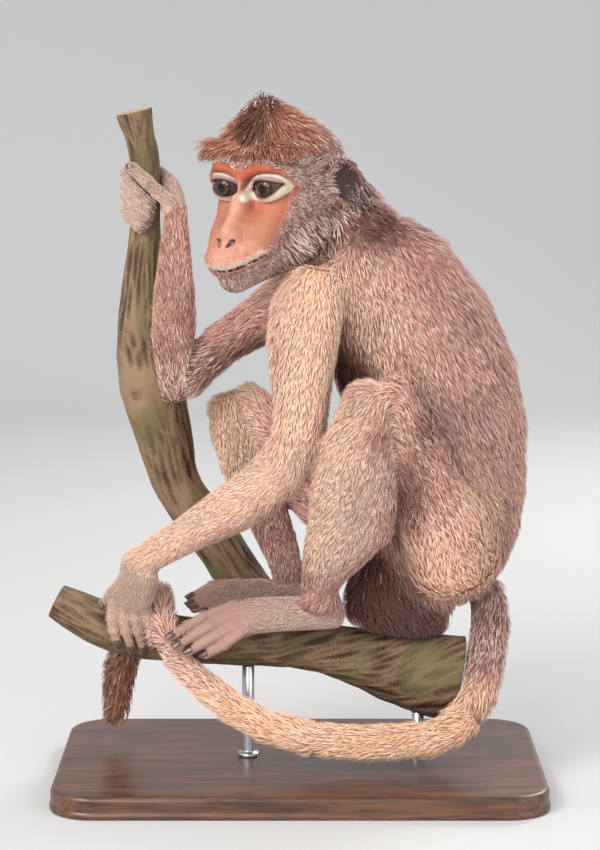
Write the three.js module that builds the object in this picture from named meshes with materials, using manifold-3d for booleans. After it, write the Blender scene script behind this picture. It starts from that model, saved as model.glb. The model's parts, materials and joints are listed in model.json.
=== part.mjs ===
// A life-size toque macaque that sits on a forked branch and grips it with both hands, over a flat display stand.
// Millimetres, +Z up. The animal faces -X and a little towards -Y, and its left side is on the -Y side.
// The origin is the middle of the stand's underside. Every solid of flesh reaches out to the tips of the coat.

import * as THREE from "three";
import { mergeVertices } from "three/addons/utils/BufferGeometryUtils.js";
import Module from "manifold-3d";

const wasm = await Module();
wasm.setup();

// ---------------------------------------------------------------- driving dimensions

const GAP = 0.3; // clearance between pieces that touch
const SLIVER = 0.08; // the largest shift made when small faces are merged
const BODY_YAW = 25; // degrees that the trunk is turned from -X towards -Y
const HEAD_YAW = 54; // degrees that the head is turned from -X towards -Y
const HEAD_PITCH = 12; // degrees that the face looks down

const BASE = { length: 392, width: 244, thickness: 18, corner: 36, bevel: 3 };
const ROD_RADIUS = 5;
const EYE = { radius: 12.5, forward: 40.5, apart: 40, up: 7.5 };
const FINGER = 4.2;
const TOE = 4;
const DIGITS = 4; // beside the thumb or great toe

const at = (x, y, z) => new THREE.Vector3(x, y, z);
const turned = (degrees) => THREE.MathUtils.degToRad(degrees);

// The trunk's own left, which is the long way across its sections.
const BODY_LEFT = at(Math.sin(turned(BODY_YAW)), -Math.cos(turned(BODY_YAW)), 0);
const TOWARDS_LEFT = at(0, -1, 0);

// Where the skull sits, the joints at which one length is parted from the next, and the way past each cut.
const JOINT = {
  skull: at(-14, -8, 484),
  elbowLeft: at(-6, -73, 272),
  wristLeft: at(-127, -42, 189),
  wristRight: at(-100, 24, 457),
  neck: at(34, 0, 438),
};
const WAY = {
  neck: at(-0.72, -0.05, 0.69),
  elbowLeft: at(-0.62, 0, -0.78),
  wristLeft: at(-0.45, 0.35, -0.82),
  wristRight: at(-0.1, 0, 1),
};

// The perch: a branch that the animal sits on, and a limb that forks from its far side.
// Each station is a point on the middle of the wood and the wood's radius there.
const BRANCH = [
  [at(-197, 6, 145), 15],
  [at(-166, 3, 130), 19],
  [at(-130, 0, 119), 20],
  [at(-66, 0, 113), 19.5],
  [at(0, 2, 109), 20],
  [at(42, 4, 101), 24],
  [at(76, 5, 91), 30],
  [at(106, 6, 84), 34],
  [at(128, 6, 80), 36],
];
const LIMB = [
  [at(18, 8, 104), 18],
  [at(-12, 48, 112), 19],
  [at(-40, 68, 138), 21],
  [at(-68, 66, 181), 21],
  [at(-100, 60, 230), 20.5],
  [at(-112, 58, 274), 24],
  [at(-123, 55, 326), 26],
  [at(-129, 51, 361), 21],
  [at(-128, 47, 390), 17.5],
  [at(-127, 43, 419), 14.5],
  [at(-125, 41, 442), 12.5],
  [at(-124, 40, 476), 12],
  [at(-125, 39, 500), 12.5],
  [at(-129, 38, 520), 12.5],
  [at(-133, 37, 538), 15.5],
];
const GRIP = at(-124.5, 40, 478); // the middle of the limb in the right hand

// ---------------------------------------------------------------- shaping tools

// A closed mesh as an exact solid.
function solid(geometry) {
  const bare = geometry.clone();
  for (const name of ["normal", "uv"]) bare.deleteAttribute(name);
  const merged = mergeVertices(bare, 1e-4);
  return new wasm.Manifold(
    new wasm.Mesh({
      numProp: 3,
      vertProperties: new Float32Array(merged.attributes.position.array),
      triVerts: new Uint32Array(merged.index.array),
    }),
  );
}

const joined = (solids) => solids.reduce((whole, next) => whole.add(next));
const without = (whole, ...others) => others.reduce((left, other) => left.subtract(other), whole);

// An oval section carried along a smooth curve and closed at both ends by domes.
// A station is [point, half-width across, half-width through]. "across" is the direction of the first half-width.
// "facing" holds every section square to one direction, where otherwise each is square to the curve.
// "domes" are the lengths of the two domes and "roundings" the shares of them that carry a ring.
function loft(stations, {
  across = TOWARDS_LEFT, facing, sides = 12, steps = 8, domes = [6, 6], roundings = [0.5, 0.87], grow = 0,
} = {}) {
  const path = new THREE.CatmullRomCurve3(stations.map(([point]) => point), false, "catmullrom", 0.5);
  const widths = new THREE.CatmullRomCurve3(
    stations.map(([, wide, deep]) => at(wide, deep ?? wide, 0)), false, "catmullrom", 0.5);
  const vertices = [];
  let sideways = across.clone();
  const ring = (centre, tangent, wide, deep) => {
    const through = tangent.clone().cross(sideways);
    for (let k = 0; k < sides; k++) {
      const angle = (2 * Math.PI * k) / sides;
      vertices.push(...centre.clone()
        .addScaledVector(sideways, wide * Math.cos(angle))
        .addScaledVector(through, deep * Math.sin(angle)).toArray());
    }
  };
  const rings = [];
  for (let j = 0; j <= steps; j++) {
    const t = j / steps;
    const tangent = facing ? facing.clone() : path.getTangent(t);
    sideways = sideways.clone().addScaledVector(tangent, -sideways.dot(tangent)).normalize();
    const size = widths.getPoint(t);
    rings.push({ centre: path.getPoint(t), tangent, wide: size.x + grow, deep: size.y + grow, sideways });
  }
  const dome = (end, way, length) =>
    roundings.map((share) => ({
      ...end,
      centre: end.centre.clone().addScaledVector(end.tangent, way * length * share),
      wide: end.wide * Math.sqrt(1 - share * share),
      deep: end.deep * Math.sqrt(1 - share * share),
    }));
  const first = rings[0];
  const last = rings[steps];
  const startDome = domes[0] + grow;
  const endDome = domes[1] + grow;
  const all = [...dome(first, -1, startDome).reverse(), ...rings, ...dome(last, 1, endDome)];
  for (const r of all) {
    sideways = r.sideways;
    ring(r.centre, r.tangent, r.wide, r.deep);
  }
  const startPole = vertices.length / 3;
  vertices.push(...first.centre.clone().addScaledVector(first.tangent, -startDome).toArray());
  vertices.push(...last.centre.clone().addScaledVector(last.tangent, endDome).toArray());
  const faces = [];
  const top = (all.length - 1) * sides;
  for (let k = 0; k < sides; k++) {
    const next = (k + 1) % sides;
    faces.push(startPole, next, k, startPole + 1, top + k, top + next);
    for (let j = 0; j + 1 < all.length; j++) {
      const a = j * sides;
      const b = a + sides;
      faces.push(a + k, a + next, b + next, a + k, b + next, b + k);
    }
  }
  const geometry = new THREE.BufferGeometry();
  geometry.setAttribute("position", new THREE.BufferAttribute(new Float32Array(vertices), 3));
  geometry.setIndex(faces);
  return solid(geometry);
}

// An ellipsoid of three half-widths, turned and placed.
function ellipsoid(centre, halves, { turn = [0, 0, 0], sides = 16, grow = 0 } = {}) {
  const geometry = new THREE.SphereGeometry(1, sides, Math.round(sides * 0.6));
  geometry.applyMatrix4(new THREE.Matrix4().compose(
    centre,
    new THREE.Quaternion().setFromEuler(new THREE.Euler(...turn.map(turned))),
    at(...halves.map((half) => half + grow)),
  ));
  return solid(geometry);
}

// A big box whose face lies on a plane, on the side that the normal points to.
function beyond(point, normal) {
  const reach = 500;
  const facing = normal.clone().normalize();
  const geometry = new THREE.BoxGeometry(reach, reach, reach);
  geometry.applyMatrix4(new THREE.Matrix4().compose(
    point.clone().addScaledVector(facing, reach / 2 - GAP / 2),
    new THREE.Quaternion().setFromUnitVectors(at(0, 0, 1), facing),
    at(1, 1, 1),
  ));
  return solid(geometry);
}

// Parts one solid with a thin cut: [what lies before the plane, what lies past it].
function parted(whole, point, normal) {
  const back = normal.clone().negate();
  return [whole.subtract(beyond(point, normal)), whole.subtract(beyond(point, back))];
}

// ---------------------------------------------------------------- perch and stand

const wood = (stations, sides, steps, grow) =>
  loft(stations.map(([point, radius]) => [point, radius, radius]),
    { sides, steps, domes: [1, 1], roundings: [0.5], grow });
const branch = (grow = 0) => wood(BRANCH, 12, 9, grow);
const limb = (grow = 0) => wood(LIMB, 10, 14, grow);

function standBase() {
  const { length, width, thickness, corner, bevel } = BASE;
  const outline = new THREE.Shape();
  const x = length / 2 - bevel;
  const y = width / 2 - bevel;
  outline.absarc(x - corner, y - corner, corner, 0, Math.PI / 2);
  outline.absarc(corner - x, y - corner, corner, Math.PI / 2, Math.PI);
  outline.absarc(corner - x, corner - y, corner, Math.PI, 1.5 * Math.PI);
  outline.absarc(x - corner, corner - y, corner, 1.5 * Math.PI, 2 * Math.PI);
  outline.closePath();
  const geometry = new THREE.ExtrudeGeometry(outline, {
    depth: thickness - bevel, bevelThickness: bevel, bevelSize: bevel, bevelSegments: 1, curveSegments: 4,
  });
  // The bevel is kept on the top edge only: the underside is cut flat.
  return solid(geometry).subtract(beyond(at(0, 0, -GAP / 2), at(0, 0, -1)));
}

// A rod from inside the base's top up to the underside of the branch at x.
function standRod(x, y) {
  const foot = BASE.thickness + GAP;
  const head = 110;
  const geometry = new THREE.CylinderGeometry(ROD_RADIUS, ROD_RADIUS, head - foot, 12);
  geometry.rotateX(Math.PI / 2).translate(x, y, (head + foot) / 2);
  return solid(geometry).subtract(branch(GAP));
}

// ---------------------------------------------------------------- head

// From the skull's own frame, +X forwards, +Y to its left and +Z up, to the model's.
const SKULL = new THREE.Matrix4();
{
  const yaw = turned(HEAD_YAW);
  const pitch = turned(HEAD_PITCH);
  const level = at(-Math.cos(yaw), -Math.sin(yaw), 0);
  const forward = level.clone().multiplyScalar(Math.cos(pitch)).add(at(0, 0, -Math.sin(pitch)));
  const left = at(Math.sin(yaw), -Math.cos(yaw), 0);
  SKULL.makeBasis(forward, left, forward.clone().cross(left)).setPosition(JOINT.skull);
}
const inSkull = (x, y, z) => at(x, y, z).applyMatrix4(SKULL);
const skullWay = (x, y, z) => at(x, y, z).transformDirection(SKULL);

// Stations along a line through the head, given in the skull's frame.
const headLoft = (stations, { across = [0, 1, 0], facing, ...rest }) =>
  loft(stations.map(([x, y, z, wide, deep]) => [inSkull(x, y, z), wide, deep]),
    { across: skullWay(...across), facing: facing && skullWay(...facing), ...rest });

function headBulk(grow = 0) {
  // Braincase and cheeks from back to front: half-widths across and up.
  const braincase = headLoft([
    [-40, 0, 2, 37, 38],
    [-28, 0, -1, 46, 47],
    [-8, 0, -6, 50, 53],
    [12, 0, -10, 49, 54],
    [28, 0, -14, 44, 51],
    [40, 0, -19, 36, 45],
    [48, 0, -23, 29, 38],
  ], { facing: [1, 0, 0], sides: 12, steps: 6, domes: [12, 4], roundings: [0.6], grow });
  const muzzle = headLoft([
    [32, 0, -28, 32, 36],
    [48, 0, -32, 28, 33],
    [62, 0, -38, 25, 28],
    [76, 0, -44, 22, 23],
    [86, 0, -46, 17, 17],
  ], { facing: [1, 0, 0], sides: 10, steps: 4, domes: [4, 7], roundings: [0.6], grow });
  const brow = headLoft([
    [36, -36, 12, 8, 6],
    [46, -21, 20, 8, 7],
    [49, 0, 17, 7, 7],
    [46, 21, 20, 8, 7],
    [36, 36, 12, 8, 6],
  ], { across: [1, 0, 0], sides: 6, steps: 4, domes: [4, 4], roundings: [0.6], grow });
  const nose = headLoft([
    [47, 0, 10, 7, 6],
    [58, 0, -6, 6, 6],
    [69, 0, -15, 7, 6],
    [77, 0, -23, 9, 6],
  ], { sides: 5, steps: 3, domes: [4, 5], roundings: [0.6], grow });
  // The cap of hair on the crown, which rises to a peak and stands out over the brows in two corners.
  const cap = headLoft([
    [0, 0, 14, 51, 47],
    [1, 0, 28, 50, 45],
    [2, 0, 40, 44, 37],
    [5, 0, 50, 34, 29],
    [9, 0, 60, 20, 18],
    [12, 0, 69, 9, 8],
  ], { facing: [0, 0, 1], sides: 12, steps: 5, domes: [4, 6], roundings: [0.6], grow });
  const brim = headLoft([
    [48, -45, 35, 4, 3],
    [40, -40, 34, 11, 10],
    [38, -20, 34, 12, 12],
    [38, 0, 32, 11, 12],
    [38, 20, 34, 12, 12],
    [40, 40, 34, 10, 10],
    [45, 44, 34, 4, 3],
  ], { across: [0, 0, 1], sides: 6, steps: 6, domes: [3, 3], roundings: [0.6], grow });
  // The ruff of longer hair from ear to ear beneath the jaw.
  const ruff = headLoft([
    [-16, -50, -18, 9, 13],
    [-6, -46, -38, 10, 13],
    [18, -31, -54, 12, 13],
    [34, 0, -60, 16, 12],
    [18, 31, -54, 12, 13],
    [-6, 46, -38, 10, 13],
    [-16, 50, -18, 9, 13],
  ], { across: [0, -0.7, 0.7], sides: 6, steps: 8, domes: [6, 6], roundings: [0.6], grow });
  return joined([braincase, muzzle, brow, nose, cap, brim, ruff]);
}

const eye = (side, grow = 0) =>
  ellipsoid(inSkull(EYE.forward, (side * EYE.apart) / 2, EYE.up), [EYE.radius, EYE.radius, EYE.radius],
    { sides: 10, grow });

// The hull of an ear with the hair round it, and the thin cupped ear. side is 1 on the left and -1 on the right.
function earShell(side, centre, [wide, thick, tall], grow = 0) {
  const flare = 50; // degrees that the ear stands out from the side of the head
  const geometry = new THREE.SphereGeometry(1, 10, 6);
  geometry.applyMatrix4(new THREE.Matrix4().compose(
    centre, new THREE.Quaternion(), at(wide + grow, thick + grow, tall + grow)));
  geometry.applyMatrix4(new THREE.Matrix4().compose(
    at(-20, side * 56, -1),
    new THREE.Quaternion().setFromEuler(new THREE.Euler(0, turned(16), side * turned(-flare), "ZYX")),
    at(1, 1, 1)));
  geometry.applyMatrix4(SKULL);
  return solid(geometry);
}
const earHull = (side, grow = 0) => earShell(side, at(0, 0, 0), [15, 6, 20], grow);
const ear = (side) => earHull(side).subtract(earShell(side, at(2, side * 4.5, 0), [12, 6, 16.5]));

// ---------------------------------------------------------------- trunk and neck

const torso = (grow = 0) =>
  joined([
    loft([
      [at(42, 0, 430), 50, 48],
      [at(71, 4, 394), 61, 66],
      [at(99, 8, 336), 66, 73],
      [at(112, 11, 284), 67, 73],
      [at(113, 12, 224), 66, 70],
      [at(114, 12, 184), 58, 60],
      [at(116, 12, 160), 44, 44],
    ], { across: BODY_LEFT, sides: 16, steps: 8, domes: [10, 20], roundings: [0.6], grow }),
    loft([
      [at(98, 8, 182), 46, 48],
      [at(82, 6, 154), 45, 48],
      [at(78, 6, 130), 36, 46],
    ], { across: BODY_LEFT, sides: 14, steps: 3, domes: [10, 12], roundings: [0.6], grow }),
    loft([
      [at(50, 4, 420), 46, 46],
      [at(28, -1, 444), 46, 48],
      [at(-2, -6, 468), 42, 44],
    ], { across: BODY_LEFT, sides: 12, steps: 3, domes: [8, 8], roundings: [0.6], grow }),
  ]);

// ---------------------------------------------------------------- arms and legs

const armLeft = (grow = 0) =>
  loft([
    [at(12, -38, 408), 25, 25],
    [at(4, -54, 381), 28, 31],
    [at(2, -62, 352), 25, 28.5],
    [at(1, -69, 316), 22, 23.5],
    [at(-4, -73, 284), 21, 23],
    [at(-24, -71, 255), 20, 23],
    [at(-51, -63, 234), 19, 21.5],
    [at(-74, -56, 220), 17, 18.5],
    [at(-96, -50, 206), 15, 15.5],
    [at(-128, -41, 186), 13, 14],
  ], { sides: 11, steps: 12, domes: [12, 6], roundings: [0.6], grow });

const armUpperRight = (grow = 0) =>
  loft([
    [at(22, 40, 404), 30, 30],
    [at(-6, 46, 388), 29, 27],
    [at(-31, 48, 370), 25, 23],
    [at(-53, 45, 358), 21, 20],
    [at(-76, 40, 339), 19, 19],
    [at(-92, 36, 320), 16, 17],
  ], { sides: 10, steps: 6, domes: [12, 8], roundings: [0.6], grow });

const forearmRight = (grow = 0) =>
  loft([
    [at(-102, 35, 309), 14, 13],
    [at(-101, 34, 326), 19, 18.5],
    [at(-102, 31, 355), 18, 20],
    [at(-101, 27, 396), 15, 18],
    [at(-100, 24, 436), 11, 13],
    [at(-100, 24, 462), 10, 10.5],
  ], { sides: 10, steps: 7, domes: [8, 4], roundings: [0.6], grow });

const thighLeft = (grow = 0) =>
  loft([
    [at(122, -28, 182), 38, 38],
    [at(117, -44, 205), 38, 40],
    [at(99, -64, 246), 31, 31],
    [at(82, -78, 289), 26, 27],
    [at(63, -85, 324), 23, 24],
  ], { sides: 12, steps: 6, domes: [14, 12], roundings: [0.6], grow });

const shinLeft = (grow = 0) =>
  loft([
    [at(57, -87, 324), 24, 24],
    [at(50, -86, 294), 27, 31],
    [at(44, -80, 255), 27, 38],
    [at(40, -72, 226), 25, 37],
    [at(26, -62, 199), 22, 27],
    [at(17, -52, 174), 17, 18],
    [at(17, -46, 157), 16, 17],
  ], { sides: 12, steps: 8, domes: [14, 8], grow });

const thighRight = (grow = 0) =>
  loft([
    [at(90, 42, 176), 36, 38],
    [at(58, 52, 198), 35, 38],
    [at(8, 64, 240), 30, 34],
    [at(-31, 71, 280), 25, 27],
    [at(-50, 74, 299), 22, 23],
  ], { sides: 10, steps: 5, domes: [14, 10], roundings: [0.6], grow });

const shinRight = (grow = 0) =>
  loft([
    [at(-55, 74, 299), 22, 23],
    [at(-50, 68, 268), 24, 25],
    [at(-36, 58, 232), 22, 23],
    [at(-20, 46, 192), 17, 18],
    [at(-9, 36, 161), 13, 15],
  ], { sides: 10, steps: 6, domes: [12, 8], grow });

// ---------------------------------------------------------------- hands and feet

// A finger or toe that thins a little to its tip.
const digit = (points, radius, grow = 0) =>
  loft(points.map((point, k) => [point, radius * (1.06 - 0.06 * k), radius * (1.06 - 0.06 * k)]),
    { across: at(0.3, -0.8, 0.5).normalize(), sides: 6, steps: points.length - 1, domes: [2, radius * 0.9],
      roundings: [0.65], grow });

// Digits side by side, from the path of the first to the path of the last.
// The ones between reach further by "longer".
function fan(first, last, radius, longer, grow = 0) {
  return Array.from({ length: DIGITS }, (_, k) => {
    const share = k / (DIGITS - 1);
    const points = first.map((point, j) => point.clone().lerp(last[j], share));
    const tip = points[points.length - 1];
    const reach = tip.clone().sub(points[points.length - 2]).normalize();
    tip.addScaledVector(reach, longer * Math.sin(Math.PI * share));
    return digit(points, radius, grow);
  });
}

// The left hand hangs over the near side of the branch, with its fingers pointing down.
function handLeft(grow = 0) {
  const palm = loft([
    [JOINT.wristLeft, 15, 12],
    [at(-127, -39, 175), 17, 12],
    [at(-132, -33, 160), 18, 10],
    [at(-136, -30, 152), 18, 8],
  ], { across: at(0.95, -0.25, -0.1).normalize(), sides: 8, steps: 3, domes: [6, 6], roundings: [0.6], grow });
  const thumb = digit([at(-140, -32, 170), at(-150, -24, 158), at(-157, -17, 148)], FINGER, grow);
  const fingers = fan(
    [at(-148, -27, 152), at(-150, -29, 139), at(-149, -27, 128), at(-146, -24.5, 118)],
    [at(-124, -30, 150), at(-122, -30, 138), at(-119, -28, 127), at(-117, -25, 117)], FINGER, 6, grow);
  return joined([parted(palm, JOINT.wristLeft, WAY.wristLeft)[1], thumb, ...fingers]);
}

// The right hand lies behind the limb: its fingers come round the far edge and show their tips in front,
// and its thumb crosses the near side.
function handRight(grow = 0) {
  const wrap = LIMB[11][1] + FINGER + 0.6;
  const round = (degrees, height, clear = 0) =>
    GRIP.clone().add(at(
      (wrap + clear) * Math.cos(turned(degrees)), (wrap + clear) * Math.sin(turned(degrees)), height));
  const palm = loft([
    [JOINT.wristRight, 12, 11],
    [round(15, -8, 5), 14, 10],
    [round(50, 2, 4), 17, 8],
    [round(84, 4, 2), 20, 6],
  ], { across: at(0, 0, 1), sides: 8, steps: 4, domes: [5, 6], roundings: [0.6], grow });
  const thumb = digit([
    JOINT.wristRight.clone().add(at(-2, -2, 8)),
    round(-52, -4, 2),
    round(-82, 5, 0.5),
    round(-126, 16),
  ], FINGER * 1.15, grow);
  const fingers = fan(
    [84, 130, 175, 215, 255, 292].map((degrees, k) => round(degrees, [16, 17, 11, 4, -5, -14][k])),
    [84, 130, 175, 215, 255, 266].map((degrees, k) => round(degrees, [-8, -13, -18, -24, -31, -33][k])),
    FINGER, 2, grow);
  return joined([parted(palm, JOINT.wristRight, WAY.wristRight)[1], thumb, ...fingers]);
}

// A foot from heel to ball, with its toes and a great toe that grips across the branch.
function foot({ sole, across, firstToe, lastToe, greatToe }, grow = 0) {
  return joined([
    loft(sole, { across, sides: 8, steps: 4, domes: [9, 6], roundings: [0.6], grow }),
    ...fan(firstToe, lastToe, TOE, 5, grow),
    digit(greatToe, TOE * 1.2, grow),
  ]);
}

const footLeft = (grow = 0) =>
  foot({
    sole: [
      [at(28, -37, 145), 13, 14],
      [at(0, -37, 144), 14, 14],
      [at(-30, -36, 143), 16, 12],
      [at(-46, -36, 140), 18, 9],
    ],
    across: at(0.12, -0.72, -0.68).normalize(),
    firstToe: [at(-52, -28, 150), at(-77, -40, 142), at(-102, -48, 128)],
    lastToe: [at(-46, -43, 130), at(-60, -46, 120), at(-75, -44, 112)],
    greatToe: [at(-22, -22, 144), at(-38, -10, 142), at(-52, 0, 139)],
  }, grow);

const footRight = (grow = 0) =>
  foot({
    sole: [
      [at(6, 36, 146), 12, 12],
      [at(-12, 32, 146), 13, 12],
      [at(-32, 26, 147), 15, 11],
      [at(-48, 20, 147), 17, 8],
    ],
    across: at(-0.1, -0.86, -0.5).normalize(),
    firstToe: [at(-50, 27, 154), at(-72, 24, 154), at(-89, 15, 146)],
    lastToe: [at(-48, 9, 142), at(-64, 3, 140), at(-78, -4, 138)],
    greatToe: [at(-26, 40, 142), at(-42, 42, 136), at(-56, 38, 128)],
  }, grow);

// ---------------------------------------------------------------- tail

// The tail drops behind the rump, sweeps forwards under the branch, crosses over it and hangs down behind it.
const TAIL = [
  [at(148, 24, 156), 17],
  [at(155, 14, 134), 18],
  [at(151, -6, 107), 18],
  [at(145, -26, 82), 18],
  [at(130, -42, 60), 17.5],
  [at(109, -49, 47), 17],
  [at(75, -50, 43), 17],
  [at(24, -49, 43), 16.5],
  [at(-30, -47, 56), 16],
  [at(-64, -42, 77), 15],
  [at(-91, -36, 99), 13.5],
  [at(-105, -33, 123), 12.5],
  [at(-110, -19, 145), 12],
  [at(-113, 4, 152), 12],
  [at(-124, 28, 138), 13],
  [at(-139, 38, 107), 15],
  [at(-149, 39, 78), 15.5],
  [at(-152, 36, 45), 12],
];
const TAIL_CUTS = [0, 0.22, 0.42, 0.63, 0.82, 1]; // shares of the tail's length at which its pieces part
const TAIL_STEPS = 26;

function tailPieces() {
  const path = new THREE.CatmullRomCurve3(TAIL.map(([point]) => point), false, "catmullrom", 0.5);
  const girth = new THREE.CatmullRomCurve3(
    TAIL.map(([, radius]) => at(radius, radius, 0)), false, "catmullrom", 0.5);
  const pieces = TAIL_CUTS.length - 1;
  return Array.from({ length: pieces }, (_, k) => {
    const [from, to] = [TAIL_CUTS[k], TAIL_CUTS[k + 1]];
    const steps = Math.round((to - from) * TAIL_STEPS);
    const stations = Array.from({ length: steps + 1 }, (_, j) => {
      const share = from + ((to - from) * j) / steps;
      const radius = girth.getPoint(share).x;
      return [path.getPoint(share), radius, radius];
    });
    let piece = loft(stations, {
      sides: 8, steps, domes: [k ? 0.5 : 10, k < pieces - 1 ? 0.5 : 10], roundings: [0.6],
    });
    if (k) piece = parted(piece, path.getPoint(from), path.getTangent(from))[1];
    if (k < pieces - 1) piece = parted(piece, path.getPoint(to), path.getTangent(to))[0];
    return piece;
  });
}

// ---------------------------------------------------------------- assembly

const FINISH = {
  coat: [0x8d7264, 0.95, 0],
  cap: [0x4f3428, 0.95, 0],
  skin: [0x9c7d70, 0.8, 0],
  eye: [0x2c1c14, 0.15, 0],
  bark: [0x6b5240, 0.95, 0],
  base: [0x3d2a1e, 0.5, 0],
  steel: [0xb0b3b6, 0.3, 1],
};

const monkey = new THREE.Group();

function place(name, shape, finish) {
  const made = shape.simplify(SLIVER).getMesh();
  const geometry = new THREE.BufferGeometry();
  geometry.setAttribute("position", new THREE.BufferAttribute(made.vertProperties, 3));
  geometry.setIndex(new THREE.BufferAttribute(made.triVerts, 1));
  geometry.computeVertexNormals();
  const [color, roughness, metalness] = FINISH[finish];
  const mesh = new THREE.Mesh(geometry, new THREE.MeshStandardMaterial({ color, roughness, metalness }));
  mesh.name = name;
  monkey.add(mesh);
}

const perch = [branch(GAP), limb(GAP)];
const head = headBulk(GAP);
const legs = [thighLeft(GAP), shinLeft(GAP), thighRight(GAP), shinRight(GAP)];
const arms = [armLeft(GAP), armUpperRight(GAP)];
const [armUpper, armRest] = parted(armLeft(), JOINT.elbowLeft, WAY.elbowLeft);
const [trunk, neck] = parted(torso(), JOINT.neck, WAY.neck);

place("head", without(headBulk(), eye(1, GAP), eye(-1, GAP)), "coat");
for (const [side, name] of [[1, "left"], [-1, "right"]]) {
  place(`eye_${name}`, eye(side), "eye");
  place(`ear_${name}`, without(ear(side), head), "skin");
}
place("neck", without(neck, head, earHull(1, GAP), earHull(-1, GAP), ...arms), "coat");
place("trunk", without(trunk, head, ...arms, ...legs, footLeft(GAP), footRight(GAP), ...perch), "coat");

place("arm_upper_left", without(armUpper, head, shinLeft(GAP)), "coat");
place("forearm_left", without(parted(armRest, JOINT.wristLeft, WAY.wristLeft)[0], shinLeft(GAP)), "coat");
place("hand_left", without(handLeft(), ...perch), "skin");
place("arm_upper_right", without(armUpperRight(), head, forearmRight(GAP), ...perch), "coat");
place("forearm_right", without(parted(forearmRight(), JOINT.wristRight, WAY.wristRight)[0], ...perch), "coat");
place("hand_right", without(handRight(), ...perch), "skin");

place("thigh_left", without(thighLeft(), shinLeft(GAP), ...perch), "coat");
place("shin_left", without(shinLeft(), ...perch), "coat");
place("foot_left", without(footLeft(), shinLeft(GAP), ...perch), "skin");
place("thigh_right", without(thighRight(), shinRight(GAP), thighLeft(GAP), ...perch), "coat");
place("shin_right", without(shinRight(), ...perch), "coat");
place("foot_right", without(footRight(), shinRight(GAP), footLeft(GAP), ...perch), "skin");

tailPieces().forEach((piece, k) => {
  const around = k === 0 ? [torso(GAP), thighLeft(GAP)] : [handLeft(GAP), footLeft(GAP), footRight(GAP)];
  place(`tail_${k + 1}`, without(piece, ...around, ...perch), "coat");
});

place("perch_branch", branch(), "bark");
place("perch_limb", without(limb(), branch(GAP)), "bark");
place("stand_base", standBase(), "base");
place("stand_rod_rear", standRod(96, 4), "steel");
place("stand_rod_front", standRod(-42, 0), "steel");

export default monkey;
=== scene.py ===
"""A toque macaque in the round: one sculpted skin under a coat of tufts, on a forked perch and a stand.

Lengths are in millimetres until a mesh is written, which turns them to metres.
"""

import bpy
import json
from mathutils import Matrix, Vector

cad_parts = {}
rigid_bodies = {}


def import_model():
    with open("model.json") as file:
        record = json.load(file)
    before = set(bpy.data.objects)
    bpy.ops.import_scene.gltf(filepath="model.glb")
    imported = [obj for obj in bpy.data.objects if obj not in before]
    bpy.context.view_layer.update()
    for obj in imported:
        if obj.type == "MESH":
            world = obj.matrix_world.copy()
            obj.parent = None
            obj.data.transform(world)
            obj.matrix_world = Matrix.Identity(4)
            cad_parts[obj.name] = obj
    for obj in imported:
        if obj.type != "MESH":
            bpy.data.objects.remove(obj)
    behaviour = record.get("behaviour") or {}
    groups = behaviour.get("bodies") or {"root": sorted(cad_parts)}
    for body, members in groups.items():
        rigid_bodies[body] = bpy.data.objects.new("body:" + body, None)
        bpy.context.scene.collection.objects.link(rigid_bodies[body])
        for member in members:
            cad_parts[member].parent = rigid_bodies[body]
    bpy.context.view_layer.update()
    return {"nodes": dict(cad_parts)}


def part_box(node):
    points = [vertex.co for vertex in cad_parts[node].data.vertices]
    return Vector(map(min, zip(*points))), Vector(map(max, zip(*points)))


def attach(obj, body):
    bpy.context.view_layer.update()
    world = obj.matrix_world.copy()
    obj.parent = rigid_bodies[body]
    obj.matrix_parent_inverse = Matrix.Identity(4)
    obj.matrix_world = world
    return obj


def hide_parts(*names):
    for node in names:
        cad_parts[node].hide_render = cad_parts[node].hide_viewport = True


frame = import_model()

import json
import logging
import math
import time
from dataclasses import dataclass, field
from enum import Enum, IntEnum
from functools import cached_property

import bpy
import mathutils
import numpy as np
import openvdb

LOG = logging.getLogger("macaque")
BODY = "root"  # the model has no joints, so that every piece rides on one body
MM = 0.001
Array = np.ndarray


# ---------------------------------------------------------------- arrays


def unit(vectors: Array) -> Array:
    """Scales vectors in the last axis to length one."""
    return vectors / np.maximum(np.linalg.norm(vectors, axis=-1, keepdims=True), 1e-9)


def rise(values: Array, low: float, high: float) -> Array:
    """Goes smoothly from 0 at low to 1 at high."""
    share = np.clip((values - low) / (high - low), 0, 1)
    return share * share * (3 - 2 * share)


def soft_min(a: Array, b: Array, reach: float) -> Array:
    """The lesser of two fields, rounded where they differ by less than reach."""
    share = np.clip(0.5 + 0.5 * (b - a) / reach, 0, 1)
    return b + (a - b) * share - reach * share * (1 - share)


def soft_max(a: Array, b: Array, reach: float) -> Array:
    """The greater of two fields, rounded where they differ by less than reach."""
    return -soft_min(-a, -b, reach)


def ripple(points: Array, size: float, seed: int, waves: int = 9) -> Array:
    """Smooth unevenness from about -1 to 1: a sum of sine waves in random directions.

    Args:
        points: Places, in the last axis.
        size: The wavelength.
        seed: Chooses the waves.
        waves: How many are added.

    Returns:
        One value for each place.
    """
    rng = np.random.default_rng(seed)
    ways = unit(rng.normal(size=(waves, 3))) * (2 * math.pi / size) * rng.uniform(0.6, 1.5, (waves, 1))
    phases = rng.uniform(0, 2 * math.pi, waves)
    return np.sin(points @ ways.T + phases).sum(-1) / math.sqrt(waves * 1.2)


def mirrored(points: Array) -> Array:
    """Places with the right side's laid over on the left, for shapes whose two sides are alike.

    Args:
        points: Places, in the last axis.

    Returns:
        The places on the left.
    """
    folded = points.copy()
    folded[..., 1] = np.abs(folded[..., 1])
    return folded


def within(points: Array, corners: Array, margin: float) -> Array:
    """Which places lie in the box round some corners, or outside it by less than a margin."""
    return np.all((points > corners.min(0) - margin) & (points < corners.max(0) + margin), axis=1)


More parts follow.
